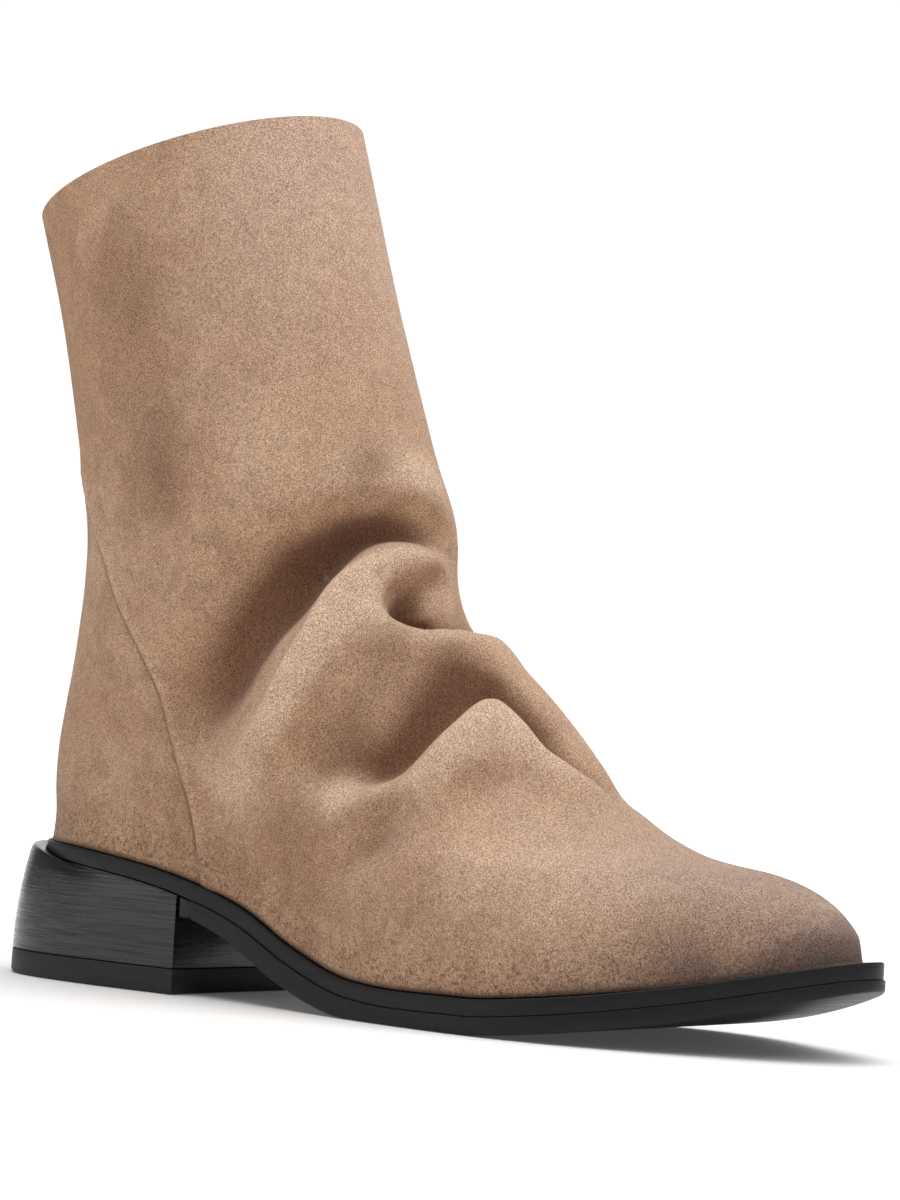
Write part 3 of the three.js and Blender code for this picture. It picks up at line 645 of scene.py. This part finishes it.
def make_outsole():
    """Lower layer of the sole, from in front of the breast roll to the toe."""
    start = (HEEL_BREAST + BREAST_ROLL_LENGTH + 2 * FIT_GAP) / SOLE_LENGTH
    place = np.sin(np.pi * np.arange(OUTSOLE_STEPS + 1) / (2 * OUTSOLE_STEPS))
    share = start + (1 - start) * place
    layers = []
    for setback, height in rounded(lambda x: welt_underside(x) - LAYER_GAP, underside, *OUTSOLE_ROUNDS):
        x = share * SOLE_LENGTH - setback * place
        left_y = centre(share) - half_width(share, -1) * (1 - setback / BALL_LATERAL)
        right_y = centre(share) + half_width(share, 1) * (1 - setback / BALL_MEDIAL)
        left = np.column_stack([x, left_y, height(x)])
        right = np.column_stack([x, right_y, height(x)])
        layers.append((right[::-1], left[::-1]))
    obj = loft("outsole_layer", layers, tip_end=False)
    shade(obj, 50)
    return obj


HEEL_STEPS = 60
HEEL_PLACES = 1 - np.cos(np.pi * np.arange(HEEL_STEPS + 1) / (2 * HEEL_STEPS))
BREAST_SHARE = HEEL_BREAST / SOLE_LENGTH
# Heel's back: share of its height, share of the flare
HEEL_BACK = [
    (0.00, 1.00), (0.25, 0.98), (0.41, 0.94), (0.55, 0.86), (0.69, 0.76), (0.80, 0.65), (0.91, 0.52),
    (1.00, 0.41),
]
# Rim of the heel's cup, from its top outwards: carry behind the seat and drop, in mm
CUP_EDGE = [(0.35, 0.0), (1.15, 0.05), (1.70, 0.20), (2.20, 0.50), (2.60, 0.95), (2.95, 1.5)]
CUP_ROUND = 0.25
# The heel's side in layers, from under the cup's rim down to the lift
HEEL_SIDE = np.linspace(0.91, 0.0, 15)
# Lift's side, from its top: mm less in width, mm below the top; then carry is full: less in width, height
LIFT_TOP = [(0.35, 0.0), (0.08, 0.12), (0.0, 0.4)]
LIFT_SIDE = [(0.0, 3.5), (0.0, 1.1), (0.12, 0.6), (0.4, 0.2), (0.8, 0.0)]


def heel_layer(carry, setback, height):
    """Points of a heel layer, carried behind the seat at its back and set back all round."""
    share = BREAST_SHARE * HEEL_PLACES
    x = share * SOLE_LENGTH - carry * (1 - HEEL_PLACES) + setback * (1 - 2 * HEEL_PLACES)
    inset = setback * np.minimum(1, 4 * HEEL_PLACES)
    left = np.column_stack([x, -(half_width(share, -1) - inset), height(x)])
    right = np.column_stack([x, half_width(share, 1) - inset, height(x)])
    return left, right


def heel_top(x):
    """Height of the heel's seat under the welt."""
    return welt_underside(np.maximum(x, 0)) - FIT_GAP


def cup_rim(x):
    """Height of the rim that rises round the welt at the back."""
    cup = smooth(1 - x / CUP_LENGTH)
    return heel_top(x) + CUP_RISE * cup - CUP_STEP * (1 - cup)


def carry_at(z):
    """How far the heel's back is carried behind the seat at a height."""
    return HEEL_FLARE * float(hermite(HEEL_BACK, z / float(heel_top(0.0))))


def make_heel():
    """Heel block: seat, cup rim round the welt, and sides that flare to the back."""
    share = BREAST_SHARE * HEEL_PLACES
    seat = welt_inset(share) - FIT_GAP
    layers = [inset_layer(share, seat, heel_top)]
    layers.append(inset_layer(share, seat, lambda x: cup_rim(x) - CUP_ROUND))
    layers.append(inset_layer(share, np.maximum(seat - CUP_ROUND, 0.1), cup_rim))
    for carry, drop in CUP_EDGE:
        layers.append(heel_layer(carry, 0.0, lambda x, drop=drop: cup_rim(x) - drop - 0.02))
    bottom = TOP_LIFT_THICKNESS + LAYER_GAP
    for s in HEEL_SIDE:
        z_back = bottom + s * (float(heel_top(0.0)) - bottom)
        height = lambda x, s=s: bottom + s * (heel_top(x) - bottom) + 0.15
        layers.append(heel_layer(carry_at(z_back), 0.0, height))
    layers.append(heel_layer(carry_at(bottom) - 0.2, 0.25, lambda x: bottom + 0 * x))
    obj = loft("heel_stack", layers, tip_end=False)
    shade(obj, 45)
    return obj


def make_lift():
    """Lowest layer of the heel, which stands on the floor."""
    top = TOP_LIFT_THICKNESS
    rows = [(carry_at(top), setback, top - drop) for setback, drop in LIFT_TOP]
    rows += [(HEEL_FLARE, setback, height) for setback, height in LIFT_SIDE]
    layers = [heel_layer(carry, setback, lambda x, z=z: z + 0 * x) for carry, setback, z in rows]
    obj = loft("heel_lift", layers, tip_end=False)
    shade(obj, 45)
    return obj


# Ends of the breast roll: distance in from the end in mm, size as a share
ROLL_ENDS = [(0.0, 0.78), (0.12, 0.90), (0.45, 0.98), (1.1, 1.0)]
ROLL_STEPS = 8


def make_breast_roll():
    """Rounded bar across the top of the heel's breast."""
    start = HEEL_BREAST + LAYER_GAP
    end = HEEL_BREAST + FIT_GAP + BREAST_ROLL_LENGTH
    r = BREAST_ROLL_ROUND
    top = float(welt_underside(end)) - LAYER_GAP
    bottom = float(underside(end))
    profile = [(start, float(welt_underside(start)) - LAYER_GAP)]
    profile += [(end - 0.6, top), (end - 0.15, top - 0.15), (end, top - 0.6)]
    for i in range(ROLL_STEPS + 1):
        a = math.pi / 2 * i / ROLL_STEPS
        profile.append((end - r + r * math.cos(a), bottom + r - r * math.sin(a)))
    profile.append((start, bottom))
    profile = np.array(profile)
    middle = profile.mean(0)
    ends = [side * (float(half_width(BREAST_SHARE, side)) - BREAST_ROLL_INSET) for side in (-1, 1)]
    stations = [(ends[0] + step, scale) for step, scale in ROLL_ENDS]
    stations += [(ends[1] - step, scale) for step, scale in ROLL_ENDS[::-1]]
    vertices = []
    for y, scale in stations:
        for x, z in middle + (profile - middle) * scale:
            vertices.append((x, y, z))
    count = len(profile)
    last = (len(stations) - 1) * count
    faces = []
    for low in range(0, last, count):
        high = low + count
        for i in range(count):
            j = (i + 1) % count
            faces.append((low + i, low + j, high + j, high + i))
    faces.append(tuple(range(count))[::-1])
    faces.append(tuple(last + i for i in range(count)))
    obj = build_mesh("breast_bar", np.array(vertices), faces)
    shade(obj, 40)
    return obj


# Materials
def new_material(name):
    material = bpy.data.materials.new(name)
    material.use_nodes = True
    tree = material.node_tree
    tree.nodes.clear()
    out = tree.nodes.new("ShaderNodeOutputMaterial")
    shader = tree.nodes.new("ShaderNodeBsdfPrincipled")
    tree.links.new(shader.outputs[0], out.inputs[0])
    return material, tree, shader


class Nodes:
    """Short calls for a material's nodes."""

    def __init__(self, tree, coords="Object"):
        self.tree = tree
        self.coords = tree.nodes.new("ShaderNodeTexCoord").outputs[coords]

    def link(self, a, b):
        self.tree.links.new(a, b)

    def put(self, socket, value):
        if isinstance(value, bpy.types.NodeSocket):
            self.link(value, socket)
        else:
            socket.default_value = value

    def scaled(self, scale):
        node = self.tree.nodes.new("ShaderNodeMapping")
        self.link(self.coords, node.inputs["Vector"])
        node.inputs["Scale"].default_value = scale
        return node.outputs[0]

    def noise(self, scale, detail=3.0, rough=0.5, distort=0.0, vector=None):
        node = self.tree.nodes.new("ShaderNodeTexNoise")
        self.link(vector if vector is not None else self.coords, node.inputs["Vector"])
        node.inputs["Scale"].default_value = scale
        node.inputs["Detail"].default_value = detail
        node.inputs["Roughness"].default_value = rough
        node.inputs["Distortion"].default_value = distort
        return node.outputs["Fac"]

    def attribute(self, name):
        node = self.tree.nodes.new("ShaderNodeAttribute")
        node.attribute_name = name
        return node.outputs["Fac"]

    def span(self, value, low, high, out_low=0.0, out_high=1.0):
        node = self.tree.nodes.new("ShaderNodeMapRange")
        node.interpolation_type = "SMOOTHSTEP"
        self.put(node.inputs["Value"], value)
        node.inputs["From Min"].default_value = low
        node.inputs["From Max"].default_value = high
        node.inputs["To Min"].default_value = out_low
        node.inputs["To Max"].default_value = out_high
        return node.outputs["Result"]

    def times(self, product, *factors):
        """Product of values and sockets."""
        for factor in factors:
            node = self.tree.nodes.new("ShaderNodeMath")
            node.operation = "MULTIPLY"
            self.put(node.inputs[0], product)
            self.put(node.inputs[1], factor)
            product = node.outputs[0]
        return product

    def vector(self, kind, a, b=None):
        """Node of vector arithmetic."""
        node = self.tree.nodes.new("ShaderNodeVectorMath")
        node.operation = kind
        self.link(a, node.inputs[0])
        if b is not None:
            self.put(node.inputs["Scale" if kind == "SCALE" else 1], b)
        return node.outputs

    def mix(self, share, a, b):
        node = self.tree.nodes.new("ShaderNodeMix")
        node.data_type = "RGBA"
        self.put(node.inputs["Factor"], share)
        self.put(node.inputs[6], a)
        self.put(node.inputs[7], b)
        return node.outputs[2]

    def axis(self, name, vector=None):
        """One axis of a vector, or of the coordinates."""
        node = self.tree.nodes.new("ShaderNodeSeparateXYZ")
        self.link(self.coords if vector is None else vector, node.inputs[0])
        return node.outputs[name]

    def bump(self, height, distance, strength, under=None):
        node = self.tree.nodes.new("ShaderNodeBump")
        node.inputs["Distance"].default_value = distance
        node.inputs["Strength"].default_value = strength
        self.put(node.inputs["Height"], height)
        if under is not None:
            self.link(under, node.inputs["Normal"])
        return node.outputs[0]


# Colours of the suede, among them painted shade and painted light
SUEDE = {
    "tan": (0.400, 0.226, 0.128, 1),
    "pale": (0.600, 0.395, 0.262, 1),
    "dark": (0.260, 0.138, 0.076, 1),
    "red": (0.400, 0.205, 0.125, 1),
    # lit: painted light, for faces that look up
    "lit": (0.595, 0.400, 0.280, 1),
    # Painted highlight at the front of the collar
    "collar_front_painted_light": (0.62, 0.435, 0.345, 1),
    # Painted shade in the creases
    "fold_shade": (0.165, 0.075, 0.042, 1),
    # Painted light on the folds' crests
    "fold_crest_painted_light": (0.690, 0.490, 0.350, 1),
    # Nap tone with painted shade, and nap tone with painted light
    "tone_and_painted_shade": (0.190, 0.090, 0.052, 1),
    "tone_and_painted_light": (0.720, 0.510, 0.365, 1),
    # Painted sheen on the toe's top
    "toe_top_painted_sheen": (0.540, 0.410, 0.345, 1),
    "toe_burnish": (0.120, 0.088, 0.080, 1),
    "feather_edge": (0.10, 0.065, 0.05, 1),
    "heel_dust": (0.22, 0.155, 0.12, 1),
    "seam_shade": (0.15, 0.09, 0.06, 1),
    "inside": (0.33, 0.235, 0.165, 1),
    "pepper": (0.20, 0.115, 0.075, 1),
    "grain_dark": (0.235, 0.195, 0.170, 1),
    "grain_pale": (0.765, 0.805, 0.830, 1),
    "sheen": (0.95, 0.80, 0.68, 1),
}
# Washes over the tan, in order: colour, strength, and fades, which are multiplied. A fade has its source (a
# named value, or a noise's scale, detail, roughness and distortion), the values that it runs between, and
# the shares that it gives there if they aren't 0 and 1. A source alone is used as it is
WASHES = [
    ("pale", 1.0, [((24.0, 4.0, 0.6, 0.8), 0.38, 0.62, 0.0, 0.42)]),
    ("dark", 1.0, [((55.0, 5.0, 0.65, 1.2), 0.36, 0.58, 0.46, 0.0)]),
    ("red", 1.0, [((40.0, 2.0, 0.5), 0.50, 0.72, 0.0, 0.35)]),
    # Painted light: paler where the suede faces up
    ("lit", 1.0, [("facing_up", -0.45, 0.80, 0.0, 0.72)]),
    # Painted highlight, high on the collar and towards its front
    ("collar_front_painted_light", 0.55, [("z", 0.150, 0.235), ("x", -0.080, -0.045)]),
    # Painted shade, darker the deeper a fold's trough
    ("fold_shade", 1.0, [("fold", -0.8, -7.0, 0.0, 0.92)]),
    # Painted light, paler the higher a fold's crest
    ("fold_crest_painted_light", 1.0, [("fold", 0.6, 4.2, 0.0, 0.80)]),
    # Tone patches: nap tone with painted shade where darker, with painted light where lighter
    ("tone_and_painted_shade", 1.0, [("tone", 0.0, 1.0)]),
    ("tone_and_painted_light", 1.0, [("tone", 0.0, -1.0)]),
    # Painted sheen: paler at the toe where the suede faces up
    ("toe_top_painted_sheen", 0.45, [("x", 0.045, 0.105), ("facing_up", 0.20, 0.85)]),
    ("toe_burnish", 0.92, [
        ("x", 0.052, 0.132), ("over_sole", 20.0, 2.0, 0.42, 1.0), ((60.0, 4.0, 0.6), 0.30, 0.62, 0.5, 1.0),
    ]),
    ("feather_edge", 1.0, [("over_sole", 2.2, 0.5, 0.0, 0.75)]),
    ("heel_dust", 0.4, [("x", -0.085, -0.125), ("over_sole", 34.0, 4.0)]),
    ("seam_shade", 0.85, [("seam_dark",)]),
    ("pale", 0.45, [("seam_light",)]),
    ("inside", 1.0, [("inside",)]),
    ("pepper", 1.0, [((760.0, 2.0, 0.6), 0.50, 0.66, 0.0, 0.75), ("over_sole", 22.0, 3.0)]),
]
# Noises of the nap, and the relief of its sizes: noise, height in m, strength
CLUMPS = (260.0, 4.0, 0.8)
FIBRES = (2500.0, 3.0, 0.95)
SOFT_RELIEF = ((60.0, 3.0, 0.55), 0.0011, 0.6)
NAP_RELIEF = ((950.0, 3.0, 0.6), 0.0003, 0.6)
FIBRE_RELIEF = (0.0003, 0.9)


def suede():
    """Tan suede with brushed patches, painted shade in the folds, painted light on fold crests, on faces
    that look up, at the collar's front and on the toe's top, tone patches with painted shade and light, a
    burnished toe, dusty heel and a fine nap.
    """
    material, tree, shader = new_material("suede")
    n = Nodes(tree)
    geometry = tree.nodes.new("ShaderNodeNewGeometry")
    sources = {"x": n.axis("X"), "z": n.axis("Z"), "facing_up": n.axis("Z", geometry.outputs["Normal"])}
    for name in ("fold", "tone", "over_sole", "seam_dark", "seam_light", "inside"):
        sources[name] = n.attribute(name)
    colour = SUEDE["tan"]
    for wash, strength, fades in WASHES:
        factors = []
        for source, *limits in fades:
            value = n.noise(*source) if isinstance(source, tuple) else sources[source]
            factors.append(n.span(value, *limits) if limits else value)
        colour = n.mix(n.times(*factors, strength), colour, SUEDE[wash])
    clumps = n.span(n.noise(*CLUMPS), 0.30, 0.70, 0.92, 1.08)
    fibres = n.noise(*FIBRES)
    grain = n.mix(n.span(fibres, 0.37, 0.63), SUEDE["grain_dark"], SUEDE["grain_pale"])
    tinted = n.vector("MULTIPLY", colour, grain)["Vector"]
    n.put(shader.inputs["Base Color"], n.vector("SCALE", tinted, n.times(clumps, 2.0))["Vector"])
    n.put(shader.inputs["Roughness"], 0.95)
    n.put(shader.inputs["Specular IOR Level"], 0.12)
    n.put(shader.inputs["Sheen Weight"], 0.14)
    n.put(shader.inputs["Sheen Roughness"], 0.5)
    n.put(shader.inputs["Sheen Tint"], SUEDE["sheen"])
    relief = None
    for noise, height, strength in (SOFT_RELIEF, NAP_RELIEF):
        relief = n.bump(n.noise(*noise), height, strength, relief)
    n.link(n.bump(fibres, *FIBRE_RELIEF, relief), shader.inputs["Normal"])
    return material


# Gain of the base colour where a black edge is worn
WORN_GAIN = (2.6, 2.6, 2.7)


def black_edge(name, base, rough, streaks, coat, specular=0.25):
    """Black edge finish with worn grain and streaks along it, polished where the coat is full."""
    material, tree, shader = new_material(name)
    n = Nodes(tree)
    worn = [value * gain for value, gain in zip(base, WORN_GAIN)]
    grain = n.noise(120.0, 5.0, 0.6, vector=n.scaled((1.0, 1.0, 6.0)))
    lines = n.noise(90.0, 4.0, 0.6, vector=n.scaled((0.4, 0.4, 30.0)))
    n.put(shader.inputs["Base Color"], n.mix(n.span(grain, 0.46, 0.78, 0.0, 0.4), (*base, 1), (*worn, 1)))
    n.put(shader.inputs["Roughness"], n.span(lines, 0.3, 0.7, rough - streaks, rough + streaks))
    n.put(shader.inputs["Specular IOR Level"], specular)
    if coat > 0.5:
        coat = n.span(lines, 0.34, 0.60, coat * 0.45, coat * 0.9)
    n.put(shader.inputs["Coat Weight"], coat)
    n.put(shader.inputs["Coat Roughness"], 0.11)
    wide = n.bump(n.noise(160.0, 3.0, 0.5), 0.00015, 0.3)
    relief = n.bump(lines, 0.00012, 0.3, wide)
    n.link(relief, shader.inputs["Normal"])
    n.link(relief, shader.inputs["Coat Normal"])
    return material


def insole_leather():
    """Smooth light brown leather."""
    material, tree, shader = new_material("insole_leather")
    n = Nodes(tree)
    grain = n.noise(420.0, 4.0, 0.6)
    colour = n.mix(n.span(grain, 0.35, 0.7), (0.40, 0.28, 0.19, 1), (0.50, 0.37, 0.26, 1))
    n.put(shader.inputs["Base Color"], colour)
    n.put(shader.inputs["Roughness"], 0.6)
    n.link(n.bump(grain, 0.0002, 0.4), shader.inputs["Normal"])
    return material


def floor_material():
    """Near-white floor that glows more with the distance, so that it runs into the white behind it."""
    material, tree, shader = new_material("pale_floor")
    n = Nodes(tree)
    distance = n.vector("LENGTH", n.coords)["Value"]
    n.put(shader.inputs["Base Color"], (0.93, 0.93, 0.93, 1))
    n.put(shader.inputs["Roughness"], 0.75)
    n.put(shader.inputs["Specular IOR Level"], 0.2)
    n.put(shader.inputs["Emission Color"], (1, 1, 1, 1))
    n.put(shader.inputs["Emission Strength"], n.span(distance, 0.20, 1.6, 0.05, 0.9))
    return material


def give(obj, material, node):
    """Gives a piece its material, parents it to the root body and hides the solid that it replaces."""
    obj.data.materials.append(material)
    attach(obj, "root")
    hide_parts(node)


# The visual insole ends this far short of the solid one, inside the toe of the upper
INSOLE_TIP_GAP = 4.0
INSOLE_STEPS = 90
INSOLE_SIDE_GAP = 1.0
# Insole's side, from its top: height, mm less in width
INSOLE_SIDE = [(2.0, 0.6), (1.75, 0.15), (1.4, 0.0), (0.0, 0.0)]


def make_insole():
    """Thin sheet on the sole that follows the inside of the upper."""
    box_low, box_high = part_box("insole")
    share = end_shares(INSOLE_STEPS)
    x0 = box_low[0] / MM + ORIGIN_X
    x1 = box_high[0] / MM + ORIGIN_X - INSOLE_TIP_GAP
    x = x0 + (x1 - x0) * share
    _, front, _, back, _, lateral, medial = RINGS[0, :7]
    outline = np.clip((x - back * SOLE_LENGTH) / ((front - back) * SOLE_LENGTH), 0, 1)
    scale_left = (lateral * BALL_LATERAL - UPPER_WALL - INSOLE_SIDE_GAP) / BALL_LATERAL
    scale_right = (medial * BALL_MEDIAL - UPPER_WALL - INSOLE_SIDE_GAP) / BALL_MEDIAL
    taper = np.sqrt(np.clip(1 - ((share - 0.5) / 0.5) ** 6, 0, 1))
    left_y = centre(outline) - half_width(outline, -1) * scale_left * taper
    right_y = centre(outline) + half_width(outline, 1) * scale_right * taper
    layers = []
    for height, inset in INSOLE_SIDE:
        z = sole_top(x) + FIT_GAP + height
        left = np.column_stack([x, left_y + inset * taper, z])
        right = np.column_stack([x, right_y - inset * taper, z])
        layers.append((left, right))
    obj = loft("insole_sheet", layers)
    shade(obj, 50)
    return obj


# Floor, in m: half its side, and how far it lies below the boot
FLOOR_HALF = 3.0
FLOOR_DROP = 0.0002


def make_floor():
    corners = [(-1, -1), (1, -1), (1, 1), (-1, 1)]
    mesh = bpy.data.meshes.new("floor")
    mesh.from_pydata([(x * FLOOR_HALF, y * FLOOR_HALF, 0) for x, y in corners], [], [(0, 1, 2, 3)])
    obj = bpy.data.objects.new("floor", mesh)
    bpy.context.scene.collection.objects.link(obj)
    obj.data.materials.append(floor_material())
    obj.location.z = -FLOOR_DROP


LIGHT_AIM = (-0.01, 0, 0.11)
# Area lights: name, place in m, sides in m, power in W
LIGHTS = [
    ("key_light", (0.75, 0.00, 1.60), (2.2, 2.2), 24),
    ("top_light", (-0.20, 0.10, 1.45), (1.9, 1.9), 18),
    ("fill_light", (-0.86, -1.10, 0.30), (0.9, 0.8), 2.4),
]


def add_area(name, place, sides, power):
    """Rectangular light turned to the boot."""
    light = bpy.data.lights.new(name, "AREA")
    light.shape = "RECTANGLE"
    light.size, light.size_y = sides
    light.energy = power
    obj = bpy.data.objects.new(name, light)
    obj.location = place
    obj.rotation_euler = (Vector(LIGHT_AIM) - Vector(place)).to_track_quat("-Z", "Y").to_euler()
    bpy.context.scene.collection.objects.link(obj)


# Camera, as fitted to the sole's and the collar's lines: angles in degrees, distances in mm
CAMERA_AZIMUTH = 38.0
CAMERA_ELEVATION = -2.463
CAMERA_ROLL = 3.232
CAMERA_DISTANCE = 945.1
CAMERA_FOCAL_SHARE = 3415.96 / 1200
CAMERA_AIM = (120.0, 0.0, 110.0)
CAMERA_ASIDE = 15.33
CAMERA_UP = 2.119
SENSOR_HEIGHT = 36.0


def make_camera():
    a, e, r = (math.radians(v) for v in (CAMERA_AZIMUTH, CAMERA_ELEVATION, CAMERA_ROLL))
    back = Vector((math.sin(a) * math.cos(e), -math.cos(a) * math.cos(e), math.sin(e)))
    right = Vector((math.cos(a), math.sin(a), 0))
    up = back.cross(right)
    right2 = right * math.cos(r) + up * math.sin(r)
    up2 = -right * math.sin(r) + up * math.cos(r)
    aim = Vector(CAMERA_AIM) - Vector((ORIGIN_X, ORIGIN_Y, 0))
    place = (aim + right2 * CAMERA_ASIDE + up2 * CAMERA_UP + back * CAMERA_DISTANCE) * MM
    camera = bpy.data.cameras.new("camera")
    camera.sensor_fit = "VERTICAL"
    camera.sensor_height = SENSOR_HEIGHT
    camera.lens = CAMERA_FOCAL_SHARE * SENSOR_HEIGHT
    camera.clip_start = 0.01
    camera.clip_end = 50
    obj = bpy.data.objects.new("camera", camera)
    frame_matrix = Matrix((right2, up2, back)).transposed().to_4x4()
    frame_matrix.translation = place
    obj.matrix_world = frame_matrix
    bpy.context.scene.collection.objects.link(obj)
    bpy.context.scene.camera = obj


def make_world():
    """White behind the boot and dimmer in front of it, as in a studio with a lit back wall."""
    world = bpy.data.worlds.new("studio")
    world.use_nodes = True
    n = Nodes(world.node_tree, "Generated")
    a = math.radians(CAMERA_AZIMUTH)
    behind = n.vector("DOT_PRODUCT", n.coords, (-math.sin(a), math.cos(a), 0.0))["Value"]
    background = world.node_tree.nodes["Background"]
    n.put(background.inputs["Color"], (1, 1, 1, 1))
    n.put(background.inputs["Strength"], n.span(behind, 0.66, 0.95, 0.20, 1.05))
    bpy.context.scene.world = world


# Black finishes: name, base colour, roughness, its change in the streaks, coat, specular level
SOLE_BLACK = (0.0072, 0.0072, 0.0078)
WELT_EDGE = ("welt_edge", SOLE_BLACK, 0.46, 0.06, 0.0)
OUTSOLE_EDGE = ("outsole_edge", SOLE_BLACK, 0.46, 0.06, 0.0)
HEEL_POLISH = ("heel_polish", (0.0042, 0.0042, 0.0048), 0.40, 0.10, 1.0, 0.06)
LIFT_RUBBER = ("lift_rubber", (0.0155, 0.0155, 0.0166), 0.50, 0.06, 0.0)
ROLL_EDGE = ("roll_edge", (0.0070, 0.0070, 0.0076), 0.36, 0.06, 0.1)

make_camera()
make_world()
make_floor()
give(make_upper(), suede(), "upper")
give(make_insole(), insole_leather(), "insole")
give(make_welt(), black_edge(*WELT_EDGE), "welt")
give(make_outsole(), black_edge(*OUTSOLE_EDGE), "outsole")
give(make_heel(), black_edge(*HEEL_POLISH), "heel_block")
give(make_lift(), black_edge(*LIFT_RUBBER), "heel_top_lift")
give(make_breast_roll(), black_edge(*ROLL_EDGE), "breast_roll")
for row in LIGHTS:
    add_area(*row)
bpy.context.scene.view_settings.view_transform = "Standard"
